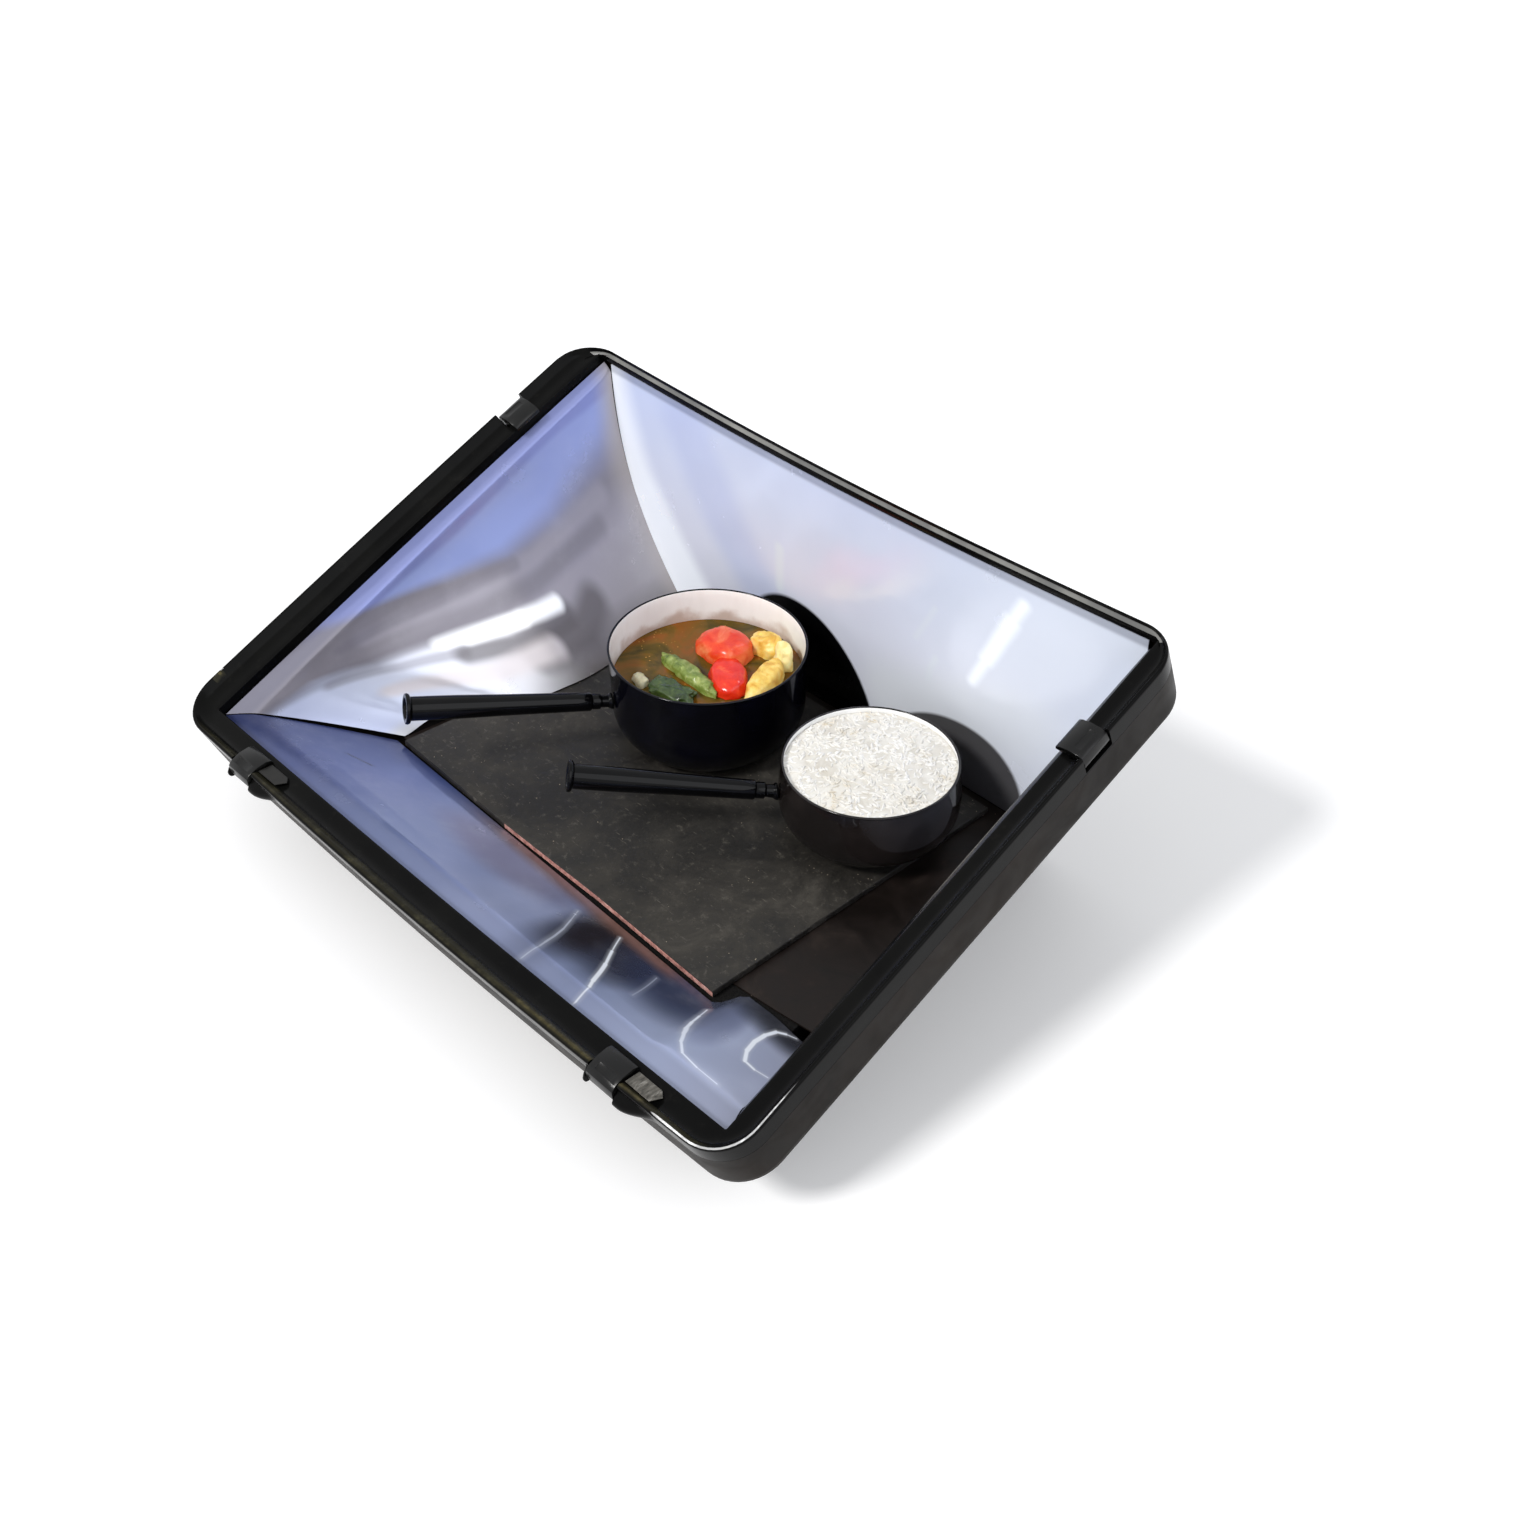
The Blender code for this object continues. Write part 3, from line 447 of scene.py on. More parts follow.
def finish_mirror(look, colour, flare_share=0.45, covers=(), highlight_glow=None):
    """Haze, gloss and waves; the glow mask marks the painted highlights of the sun, which also glow a little.
    """
    haze = look.noise(18.0, 5.0, 0.6)
    colour = look.mix(look.span(haze, 0.45, 0.8, 0.0, 0.08), colour, (246, 247, 252))
    # The flared rows under the rim's lip are painted darker navy: painted shade and dark reflection under the
    # lip
    _, t, _ = look.map()
    flare = look.span(t, 0.034, 0.067, flare_share, 0.0)
    colour = look.mix(flare, colour, (44, 50, 84))
    # Covers are painted dark reflections laid over the sheet
    for part, tone in covers:
        colour = look.mix(part, colour, tone)
    look.set("Base Color", colour)
    # The painted highlights glow a little, though they are no lamp
    if highlight_glow is not None:
        look.set("Emission Color", look.mix(highlight_glow, (0, 0, 0), (232, 240, 255)))
        look.set("Emission Strength", HIGHLIGHT_GLOW_STRENGTH)
    look.set("Roughness", look.span(haze, 0.3, 0.8, 0.18, 0.30))
    look.bump(look.noise(9.0, 2.0, 0.5, 0.5), 0.4, 0.004)
    look.bump(look.noise(60.0, 3.0), 0.06, 0.001)
    return look.material


def curved(points):
    """The given points and one more between each two, on a soft curve through them."""
    points = [Vector(point) for point in points]
    points = [2 * points[0] - points[1], *points, 2 * points[-1] - points[-2]]
    made = []
    for a, b, c, d in zip(points, points[1:], points[2:], points[3:]):
        made += [b, (9 * (b + c) - a - d) / 16]
    return [*made, points[-2]]


def line_distance(look, s, t, size, points, half=0.0):
    """Distance from a bent line, with the map's size in metres. With a half width, the ends are farther."""
    spot = look.add("CombineXYZ", {"X": s, "Y": t}).outputs[0]
    size = Vector((*size, 0))
    spot = look.vector("MULTIPLY", spot, size)
    least = None
    for k, (start, end) in enumerate(zip(points, points[1:])):
        start, end = Vector((*start, 0)) * size, Vector((*end, 0)) * size
        along = end - start
        offset = look.vector("SUBTRACT", spot, start)
        run = look.vector("DOT_PRODUCT", offset, along / along.length_squared, "Value")
        run = look.span(run, 0.0, 1.0, soft=False)
        back = look.add("CombineXYZ", {"X": run, "Y": run}).outputs[0]
        off = look.vector("SUBTRACT", offset, look.vector("MULTIPLY", back, along))
        distance = look.vector("LENGTH", off, None, "Value")
        if half:
            share = (k + 0.5) / (len(points) - 1)
            distance = look.plus(distance, half * (1 - math.sin(math.pi * share)))
        least = distance if least is None else look.math("MINIMUM", least, distance)
    return least


def line_part(look, s, t, size, points, half, soft):
    """Part of a surface near a bent line."""
    return look.span(line_distance(look, s, t, size, points), half, half + soft, 1.0, 0.0)


def painted(look, colour, s, t, size, lines):
    """Soft lines over a colour, and the part of the sheet that the strong ones among them cover, the painted
    highlights that glow.
    """
    highlight_glow = None
    for points, half, soft, tone, share in lines:
        part = line_part(look, s, t, size, points, half, soft)
        colour = look.mix(look.times(part, share), colour, tone)
        if share > GLOWING_SHARE:
            highlight_glow = part if highlight_glow is None else look.math("MAXIMUM", highlight_glow, part)
    return colour, highlight_glow


def oval_part(look, s, t, middle, half, edge):
    """Part of a surface inside an oval of its map."""
    across = look.math("DIVIDE", look.less(s, middle[0]), half[0])
    down = look.math("DIVIDE", look.less(t, middle[1]), half[1])
    reach = look.plus(look.times(across, across), look.times(down, down))
    return look.span(reach, 1 - edge, 1 + edge, 1.0, 0.0)


def painted_pan_reflection(look, vessel, middle, half, lean, edge):
    """The painted dark reflection and shadow of a pan in the back mirror, an oval that goes along when the
    pan is lifted.
    """
    x, _, z = look.axes(look.add("TexCoord", object=vessel).outputs["Object"])
    return oval_part(look, look.less(x, look.times(z, lean)), z, middle, half, edge)


def left_mirror_look():
    """Painted reflections: sky near the rim, a grey fold below it, and a bright fold low at the front."""
    look, s, t = mirror_look("mirror_left", 0.25)
    grey = look.ramp(
        t, (0.0, 142, 138, 146), (0.45, 140, 136, 146), (0.62, 164, 160, 170),
        (0.84, 164, 160, 166), (1.0, 98, 92, 88),
    )
    sky = look.ramp(t, (0.0, 146, 156, 212), (0.10, 148, 158, 216), (0.13, 164, 178, 232))
    edge = look.level(s, (0.22, 0.0), (0.30, 0.07), (0.45, 0.25), (0.60, 0.36), (0.76, 0.38), (1.0, 0.26))
    softness = look.plus(look.times(s, s, 0.18), 0.03)
    seen_sky = look.span(look.math("DIVIDE", look.less(t, edge), softness), -0.6, 0.9, 1.0, 0.0)
    colour = look.mix(look.times(seen_sky, look.span(s, 0.17, 0.27)), grey, sky)
    fold = look.level(s, (0.0, 0.08), (0.10, 0.15), (0.20, 0.34), (0.33, 0.46), (0.45, 0.55), (0.60, 0.62))
    bright = look.span(look.less(t, fold), -0.01, 0.10)
    pale = look.ramp(s, (0.0, 196, 204, 232), (0.12, 222, 229, 250), (0.40, 236, 236, 242))
    colour = look.mix(look.times(bright, look.span(s, 0.36, 0.60, 1.0, 0.0)), colour, pale)
    # Painted reflections of folds, dark painted reflections of a pan low down, and white painted glints of
    # the sun
    white = (255, 255, 255)
    sun = ((0.325, 0.51), (0.425, 0.59), (0.50, 0.64), (0.58, 0.68), (0.635, 0.70))
    long_fold = ((0.02, 0.12), (0.20, 0.38), (0.40, 0.51), (0.62, 0.58), (0.86, 0.57))
    lines = (
        (((0.10, 0.30), (0.22, 0.50), (0.34, 0.62)), 0.002, 0.010, (150, 148, 158), 0.6),
        (((0.34, 0.64), (0.46, 0.74), (0.64, 0.76)), 0.004, 0.016, (104, 100, 104), 0.8),
        (((0.48, 0.84), (0.66, 0.86), (0.74, 0.80)), 0.006, 0.020, (84, 78, 78), 0.7),
        (((0.14, 0.62), (0.36, 0.80), (0.54, 0.84)), 0.004, 0.016, (226, 218, 220), 0.8),
        (sun, 0.003, 0.010, white, 0.95),
        (((0.38, 0.575), (0.46, 0.63), (0.52, 0.655)), 0.003, 0.010, white, 0.95),
        (((0.25, 0.22), (0.45, 0.40), (0.66, 0.49), (0.90, 0.47)), 0.003, 0.014, (176, 173, 184), 0.5),
        (long_fold, 0.002, 0.014, (118, 115, 124), 0.5),
        (((0.20, 0.16), (0.40, 0.33), (0.60, 0.44)), 0.002, 0.010, (124, 120, 132), 0.5),
    )
    colour, highlight_glow = painted(look, colour, s, t, LEFT_MAP, lines)
    # A painted pale reflection at the back corner
    corner = look.times(look.span(s, 0.93, 1.0), look.span(t, 0.0, 0.7, 1.0, 0.4))
    colour = look.mix(corner, colour, (186, 178, 172))
    # A painted pale silver reflection on the sheet's curl low at the front
    foil = look.times(look.span(s, 0.0, 0.13, 1.0, 0.0), look.span(t, 0.82, 0.94))
    return finish_mirror(look, look.mix(foil, colour, (206, 208, 214)), highlight_glow=highlight_glow)


def right_mirror_look():
    look, _, t = mirror_look("mirror_right", 0.25)
    # Painted reflections: a near-black strip under the lip as a painted dark reflection, pale below, darker
    # toward the bottom
    pale, dull = (196, 202, 224), (120, 120, 128)
    colour = look.ramp(t, (0.10, 14, 14, 15), (0.14, 204, 210, 230), (0.5, *pale), (1.0, *dull))
    return finish_mirror(look, colour, 0.0)


def back_mirror_look(vessels):
    """Painted reflections, measured from the left: a bright fold beside the seam, dark ovals behind the pans
    as their painted reflections and shadows.
    """
    look, s, t = mirror_look("mirror_back", 0.10, 0.012)
    # Painted reflections of the sky, paler to the right, and white painted glints
    colour = look.ramp(
        t, (0.0, 218, 228, 255), (0.25, 226, 234, 255), (0.60, 236, 239, 254),
        (0.88, 228, 231, 245), (1.0, 166, 168, 178),
    )
    colour = look.mix(look.times(look.span(s, 0.5, 0.95), 0.7), colour, (240, 246, 255))
    edge = look.level(t, (0.0, 0.022), (0.40, 0.066), (0.80, 0.14), (1.0, 0.17))
    band = look.span(look.less(s, edge), -0.03, 0.03, 1.0, 0.0)
    colour = look.mix(look.times(band, 0.95), colour, (246, 250, 255))
    glint = (240, 247, 255)
    lines = (
        (((0.17, 0.10), (0.24, 0.45), (0.30, 0.70)), 0.012, 0.035, (204, 214, 248), 0.6),
        (((0.355, 0.42), (0.345, 0.60)), 0.001, 0.008, glint, 0.8),
        (((0.60, 0.80), (0.86, 0.62)), 0.010, 0.040, (244, 249, 255), 0.7),
        (((0.672, 0.32), (0.640, 0.48)), 0.0, 0.006, glint, 0.4),
        (((0.682, 0.53), (0.675, 0.58), (0.674, 0.63)), 0.0, 0.007, glint, 0.6),
    )
    colour, _ = painted(look, colour, s, t, BACK_MAP, lines)
    # A painted highlight streak, which glows with the bright fold
    streak = line_distance(look, s, t, BACK_MAP, curved(((0.817, 0.12), (0.784, 0.30), (0.753, 0.53))), 0.004)
    streak = look.span(streak, 0.002, 0.012, 1.0, 0.0)
    colour = look.mix(streak, colour, (246, 250, 255))
    highlight_glow = look.math("MAXIMUM", streak, look.times(band, 0.8))
    small = painted_pan_reflection(look, vessels["small_pan"], (0.0990, 0.0257), (0.080, 0.0735), 0.313, 0.06)
    large = painted_pan_reflection(look, vessels["large_pan"], (-0.0435, 0.0371), (0.079, 0.089), -0.154, 0.05)
    covers = ((look.times(small, 0.95), (60, 57, 57)), (large, (4, 4, 5)))
    return finish_mirror(look, colour, covers=covers, highlight_glow=highlight_glow)


def front_mirror_look():
    """Painted reflections, measured from the left: navy at the left end, paler and more folded to the right.
    """
    look, s, t = mirror_look("mirror_front", 0.25, 0.010)
    colour = look.ramp(
        s, (0.0, 66, 76, 122), (0.15, 88, 102, 158), (0.32, 126, 140, 184), (0.52, 148, 160, 198),
        (0.72, 150, 162, 196), (0.88, 188, 199, 230), (1.0, 186, 192, 214),
    )
    # Painted reflections: soft ovals, paler and darker
    for middle, half, tone, share in (
        ((0.42, 0.75), (0.14, 0.30), (126, 120, 144), 0.7),
        ((0.56, 0.30), (0.09, 0.34), (176, 186, 222), 0.5),
        ((0.640, 0.78), (0.058, 0.68), (46, 43, 50), 1.0),
        ((0.715, 0.74), (0.052, 0.54), (52, 54, 70), 0.95),
        ((0.80, 0.90), (0.092, 0.52), (54, 62, 90), 0.95),
        ((0.885, 0.62), (0.030, 0.32), (110, 118, 150), 0.6),
        ((0.965, 1.0), (0.11, 0.22), (40, 40, 44), 0.95),
    ):
        part = oval_part(look, s, t, middle, half, 0.9)
        colour = look.mix(look.times(part, share), colour, tone)
    # A painted reflection of the slab's rose edge, low in the middle
    low = look.times(look.span(t, 0.80, 0.95), look.span(s, 0.15, 0.40), look.span(s, 0.74, 0.80, 1.0, 0.0))
    colour = look.mix(look.times(low, 0.8), colour, (122, 94, 84))
    # Painted glints along the folds, which also glow, and at the left a short dark painted reflection
    left_glint = ((0.648, 0.015), (0.636, 0.16), (0.610, 0.48), (0.574, 0.80))
    long_glint = ((0.748, 0.015), (0.731, 0.16), (0.702, 0.46), (0.657, 0.88))
    hook_glint = ((0.853, 0.84), (0.857, 0.56), (0.870, 0.30), (0.898, 0.11), (0.960, 0.085))
    loop = ((0.990, 0.99), (0.957, 0.89), (0.944, 0.66), (0.958, 0.44), (0.997, 0.46))
    highlight_glow = None
    for points, half, tone, share in (
        (left_glint, 0.0006, (224, 231, 248), 0.8),
        (long_glint, 0.0018, (246, 250, 255), 1.0),
        (((0.775, 0.36), (0.760, 0.77)), 0.0004, (206, 214, 236), 0.5),
        (hook_glint, 0.0012, (236, 242, 255), 0.95),
        (loop, 0.0022, (246, 250, 255), 1.0),
        (((0.095, 0.42), (0.125, 0.50)), 0.0008, (40, 44, 70), 0.7),
    ):
        distance = line_distance(look, s, t, FRONT_MAP, curved(points), half)
        colour = look.mix(look.span(distance, 0.0, 0.006, share * 0.4, 0.0), colour, tone)
        core = look.span(distance, half * 0.6, half + 0.0008, share, 0.0)
        colour = look.mix(core, colour, tone)
        if share > GLOWING_SHARE:
            highlight_glow = core if highlight_glow is None else look.math("MAXIMUM", highlight_glow, core)
    return finish_mirror(look, colour, highlight_glow=highlight_glow)


def floor_look():
    """Dark painted plate with dried splashes and smears."""
    look = Look("dark_metal", metallic=0.1, specular_ior_level=0.2)
    smear = look.noise(26.0, 6.0, 0.65, 0.8)
    colour = look.ramp(smear, (0.3, 18, 14, 12), (0.55, 28, 22, 19), (0.75, 46, 38, 33))
    dots = look.specks(180.0, 0.05, 0.10, 55.0, 0.60, 0.68)
    look.set("Base Color", look.mix(dots, colour, (120, 110, 98)))
    look.set("Roughness", look.span(smear, 0.3, 0.7, 0.34, 0.55))
    look.bump(look.noise(320.0, 4.0), 0.15, 0.0003)
    return look.material


def mat_look():
    """Mottled slab: dusty patches, crumbs and short scratches on a dark ground."""
    look = Look("mat_slate", specular_ior_level=0.4)
    patch = look.noise(13.0, 9.0, 0.74, 0.5)
    colour = look.ramp(patch, (0.28, 14, 13, 11), (0.44, 26, 24, 21), (0.58, 44, 41, 36), (0.76, 74, 70, 63))
    grain = look.noise(150.0, 6.0, 0.75)
    colour = look.mix(look.span(grain, 0.54, 0.72, 0.0, 0.6), colour, (88, 84, 76))
    colour = look.mix(look.span(grain, 0.30, 0.42, 0.6, 0.0), colour, (10, 9, 8))
    scratch = look.noise(90.0, 2.0, 0.5, 0.0, look.stretched((1.0, 7.0, 1.0), (0, 0, 0.7)))
    colour = look.mix(look.span(scratch, 0.68, 0.76, 0.0, 0.35), colour, (120, 114, 104))
    crumbs = look.specks(260.0, 0.06, 0.12, 48.0, 0.57, 0.66)
    look.set("Base Color", look.mix(crumbs, colour, (186, 172, 150)))
    look.set("Roughness", look.span(patch, 0.3, 0.7, 0.46, 0.72))
    look.bump(grain, 0.35, 0.0006)
    look.bump(patch, 0.25, 0.002)
    return look.material


def mottled(look, pattern, stops, roughness=None, bump=None):
    """One pattern gives the colour, and may give the roughness and the bumps too."""
    look.set("Base Color", look.ramp(pattern, *stops))
    if roughness:
        look.set("Roughness", look.span(pattern, 0.3, 0.7, *roughness))
    if bump:
        look.bump(pattern, *bump)
    return look.material


def mat_edge_look():
    """The slab's cut edge: dusty rose with darker chips."""
    look = Look("mat_edge", roughness=0.8)
    stops = ((0.3, 120, 76, 68), (0.5, 188, 132, 122), (0.7, 220, 176, 164))
    return mottled(look, look.noise(240.0, 4.0, 0.7), stops, bump=(0.4, 0.0005))


def enamel_look(name, colour, drifted, specular):
    """Glossy dark enamel with faint smears."""
    look = Look(name, specular_ior_level=specular)
    drift = look.span(look.noise(34.0, 3.0, 0.5), 0.4, 0.8)
    look.set("Base Color", look.mix(drift, colour, drifted))
    smear = look.noise(60.0, 5.0, 0.65, 0.6)
    look.set("Roughness", look.span(smear, 0.35, 0.8, 0.04, 0.16))
    look.bump(look.noise(120.0, 2.0), 0.05, 0.0006)
    return look.material


def pan_inside_look(level):
    """White enamel with brown marks where the stew has stood and boiled up."""
    look = Look("enamel_white", roughness=0.25)
    _, _, z = look.axes(look.place)
    height = look.plus(z, look.span(look.noise(40.0, 4.0), 0.3, 0.7, -0.006, 0.006, False))
    stain = look.span(height, level, level + 0.012, 1.0, 0.0)
    streak = look.span(look.noise(60.0, 5.0, 0.7, 0.0, look.stretched((1, 1, 0.25))), 0.45, 0.7)
    colour = look.mix(look.times(streak, 0.08), (253, 253, 252), (190, 176, 162))
    look.set("Base Color", look.mix(look.times(stain, 0.55), colour, (150, 100, 52)))
    return look.material


def broth_look():
    """Brown broth with drops of oil."""
    look = Look("broth", roughness=0.12, specular_ior_level=0.2)
    swirl = look.noise(26.0, 5.0, 0.6, 1.0)
    stops = ((0.32, 52, 44, 10), (0.46, 86, 68, 16), (0.57, 110, 76, 20), (0.72, 134, 72, 20))
    colour = look.ramp(swirl, *stops)
    oil = look.specks(260.0, 0.10, 0.20, 70.0, 0.52, 0.62)
    look.set("Base Color", look.mix(oil, colour, (196, 140, 60)))
    look.bump(look.noise(90.0, 4.0), 0.35, 0.001)
    return look.material


def food_look(name, scale, roughness, glow, bump, *stops):
    """Wet food: mottled flesh over soft light from within."""
    look = Look(name, roughness=roughness)
    look.set("Base Color", look.ramp(look.noise(scale, 5.0, 0.6, 0.6), *stops))
    if glow:
        look.set("Subsurface Weight", glow)
        look.set("Subsurface Radius", (0.006, 0.003, 0.0015))
        look.set("Subsurface Scale", 1.0)
    look.bump(look.noise(scale * 4, 4.0), bump, 0.001)
    return look.material


def steel_look():
    look = Look("steel", metallic=1.0)
    grain = look.noise(500.0, 3.0, 0.6, 0.0, look.stretched((1, 1, 8)))
    return mottled(look, grain, ((0.3, 150, 150, 152), (0.7, 192, 192, 196)), (0.25, 0.45))


def grey_plate_look():
    """Dull metal with rubbed streaks."""
    look = Look("grey_plate", metallic=0.6)
    rub = look.noise(160.0, 4.0, 0.6, 0.4, look.stretched((4, 1, 1), (0, 0, 0.5)))
    stops = ((0.3, 62, 60, 56), (0.55, 100, 97, 90), (0.8, 160, 157, 150))
    return mottled(look, rub, stops, (0.30, 0.55), (0.4, 0.0008))


def rubber_look():
    look = Look("foot_rubber", roughness=0.8)
    return mottled(look, look.noise(800.0), ((0.3, 20, 20, 20), (0.7, 36, 35, 34)), bump=(0.3, 0.0003))


def foam_look():
    look = Look("foam", roughness=0.95, specular_ior_level=0.1)
    return mottled(look, look.cells(700.0), ((0.1, 8, 8, 8), (0.6, 24, 23, 22)), bump=(0.5, 0.0006))


# Ways to build shapes
def smoothed(mesh, sharp):
    """Smooth shading that keeps the edges over an angle sharp."""
    mesh.shade_smooth()
    mesh.set_sharp_from_angle(angle=math.radians(sharp))


def around(steps):
    return [2 * math.pi * i / steps for i in range(steps)]


def shaped(name, points, faces, looks, sharp=32, picks=None, maps=None):
    """An object from points and faces, smooth except over sharp angles."""
    mesh = bpy.data.meshes.new(name)
    mesh.from_pydata(points, [], faces)
    mesh.update()
    if maps:
        layer = mesh.uv_layers.new(name=MAP_NAME)
        for loop in mesh.loops:
            layer.data[loop.index].uv = maps[loop.vertex_index]
    for look in looks:
        mesh.materials.append(look)
    if picks:
        for face, pick in zip(mesh.polygons, picks):
            face.material_index = pick
    shell = bmesh.new()
    shell.from_mesh(mesh)
    bmesh.ops.recalc_face_normals(shell, faces=shell.faces)
    shell.to_mesh(mesh)
    shell.free()
    smoothed(mesh, sharp)
    return linked(name, mesh)


def loft(name, rings, looks, closed=False, sharp=32, picks=None, maps=None):
    """Joins rings of equal length; picks gives a look for each face between two rings."""
    count = len(rings[0])
    points = [point for ring in rings for point in ring]
    faces, chosen = [], []
    bands = len(rings) if closed else len(rings) - 1
    for k in range(bands):
        low, high = k * count, (k + 1) % len(rings) * count
        for i in range(count):
            j = (i + 1) % count
            faces.append((low + i, low + j, high + j, high + i))
            chosen.append(picks(k, i) if picks else 0)
    if not closed:
        faces.append(tuple(reversed(range(count))))
        faces.append(tuple(range(len(points) - count, len(points))))
        chosen += [chosen[0], chosen[-1]]
    return shaped(name, points, faces, looks, sharp, chosen, maps)


def turned(name, profile, looks, steps, spot, picks=None, sharp=32):
    """Spins an outline of (radius, height) about Z, starting and ending on the axis."""
    points, faces, chosen, rows = [], [], [], []
    for radius, height in profile:
        if radius == 0:
            rows.append([len(points)] * steps)
            points.append(spot @ Vector((0, 0, height)))
            continue
        rows.append(list(range(len(points), len(points) + steps)))
        for angle in around(steps):
            points.append(spot @ Vector((radius * math.cos(angle), radius * math.sin(angle), height)))
    for k, (low, high) in enumerate(zip(rows, rows[1:])):
        for i in range(steps):
            j = (i + 1) % steps
            faces.append(tuple(dict.fromkeys((low[i], low[j], high[j], high[i]))))
            chosen.append(picks[k] if picks else 0)
    return shaped(name, points, faces, looks, sharp, chosen)


def rounded(profile, radius):
    """Rounds the corners of a line of points, keeping its ends."""
    result = [profile[0]]
    for before, corner, after in zip(profile, profile[1:], profile[2:]):
        a, b, c = Vector(before), Vector(corner), Vector(after)
        start = b + (a - b).normalized() * min(radius, (a - b).length * 0.45)
        end = b + (c - b).normalized() * min(radius, (c - b).length * 0.45)
        for part in (0.0, 0.25, 0.5, 0.75, 1.0):
            point = start * (1 - part) ** 2 + b * (2 * part * (1 - part)) + end * part ** 2
            result.append(tuple(point))
    return [*result, profile[-1]]


def softened(rows, share, steps):
    """Rounds a closed section of number rows: each row becomes a short curve."""
    result = []
    for k, row in enumerate(rows):
        start = [mix(b, a, share) for b, a in zip(row, rows[k - 1])]
        end = [mix(b, a, share) for b, a in zip(row, rows[(k + 1) % len(rows)])]
        for i in range(steps + 1):
            part = i / steps
            first, second, third = (1 - part) ** 2, 2 * part * (1 - part), part ** 2
            result.append(tuple(first * a + second * b + third * c for a, b, c in zip(start, row, end)))
    return result


def bevelled(made, width):
    bevel = made.modifiers.new("edges", "BEVEL")
    bevel.width = width
    bevel.segments = 2
    bevel.limit_method = "ANGLE"
    bevel.angle_limit = math.radians(30)
    return made


def cut(made, tools):
    """Takes the tools' shapes out of the object and removes them."""
    for tool in tools:
        bite = made.modifiers.new("cut", "BOOLEAN")
        bite.operation = "DIFFERENCE"
        bite.solver = "EXACT"
        bite.object = tool
    baked(made)
    for tool in tools:
        bpy.data.objects.remove(tool, do_unlink=True)


def baked(made):
    """Turns the object's modifiers into its mesh."""
    graph = bpy.context.evaluated_depsgraph_get()
    mesh = bpy.data.meshes.new_from_object(made.evaluated_get(graph), depsgraph=graph)
    made.modifiers.clear()
    old = made.data
    made.data = mesh
    mesh.name = made.name
    bpy.data.meshes.remove(old)
    return made


def put(made, body, slot, *nodes):
    """The piece rides on a body and stands for the nodes; the slot is not used."""
    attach(made, body)
    if nodes:
        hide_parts(*nodes)
    return made


# Rim, case, mirrors and slab
def lug_part(u):
    """How far the lugs beside the front clips are raised at a place along the front."""
    most = 0.0
    for middle in FRONT_CLIP_PLACES.values():
        rise = smooth((u - middle + NOTCH_HALF + LUG_LEAD) / 0.005)
        fall = 1 - smooth((u - middle - NOTCH_HALF - LUG_AFTER) / LUG_TAIL)
        most = max(most, min(rise, fall))
    return most


def front_stations():
    """Places along the front edge, close together where the lugs rise and fall."""
    steps = [-NOTCH_HALF - LUG_LEAD + 0.00125 * i for i in range(5)]
    steps += [NOTCH_HALF + LUG_AFTER + LUG_TAIL * i / 10 for i in range(11)]
    left, right = [[middle + step for step in steps] for middle in FRONT_CLIP_PLACES.values()]
    return left + [-0.15 + 0.02 * i for i in range(17)] + right


def outline(half, front, back, corner, stations, back_half=None):
    """A rounded rectangle from the front left corner round: (u, v, share of the back section)."""
    back_half = back_half or half
    points = []

    def arc(centre, start, share):
        for i in range(CORNER_STEPS + 1):
            turn = start + math.pi / 2 * i / CORNER_STEPS
            u = centre[0] + corner * math.cos(turn)
            v = centre[1] + corner * math.sin(turn)
            points.append((u, v, share(i / CORNER_STEPS)))

    def side(sign, parts):
        for part in parts:
            points.append((sign * mix(half, back_half, part), mix(front + corner, back - corner, part), 0.0))

    along = [(i + 1) / 15 for i in range(14)]
    arc((-half + corner, front + corner), math.pi, lambda part: 0.0)
    points.extend((u, front, 0.0) for u in stations)
    arc((half - corner, front + corner), 1.5 * math.pi, lambda part: 0.0)
    side(1, along)
    arc((back_half - corner, back - corner), 0.0, smooth)
    points.extend(((back_half - corner) * (1 - 2 * part), back, 1.0) for part in along)
    arc((-back_half + corner, back - corner), 0.5 * math.pi, lambda part: smooth(1 - part))
    side(-1, along[::-1])
    return points


def hump(place_along, half_length):
    """A soft bow: one in the middle and nothing at both ends."""
    return math.cos(math.pi / 2 * min(1.0, abs(place_along) / half_length))


def back_bow(u):
    """How far the mouth's back edge bows in at a place along it."""
    return BACK_BOW * hump(u, HALF)


def bowed(u, v, out, back, lip, wall, lug=0.0):
    """Moves a point of the rim or the skirt with the bow of its edge."""
    if back > 0:
        return u, v - back_bow(u) * back
    if v <= -out + 1e-9:
        along = hump(u, HALF)
        swell = max(FRONT_BOW * wall * along, LUG_OUT * lug * lug_part(u))
        return u, v - swell - LIP_BOW * lip * along
    if abs(u) < HALF + out - 1e-9:
        return u, v
    along = hump(v - DEPTH / 2, DEPTH / 2)
    push = LIP_BOW * lip * along
    if u < 0:
        push += LEFT_BOW * wall * along
    return u + math.copysign(push, u), v


def corner_at(out):
    """The corner's radius at a distance out from the mouth's edge."""
    if out >= LAND_OUT:
        return CORNER_OUT - (RIM_OUT - out)
    land_corner = CORNER_OUT - (RIM_OUT - LAND_OUT)
    return mix(CORNER_IN, land_corner, max(0.0, out - LIP_OUT) / (LAND_OUT - LIP_OUT))


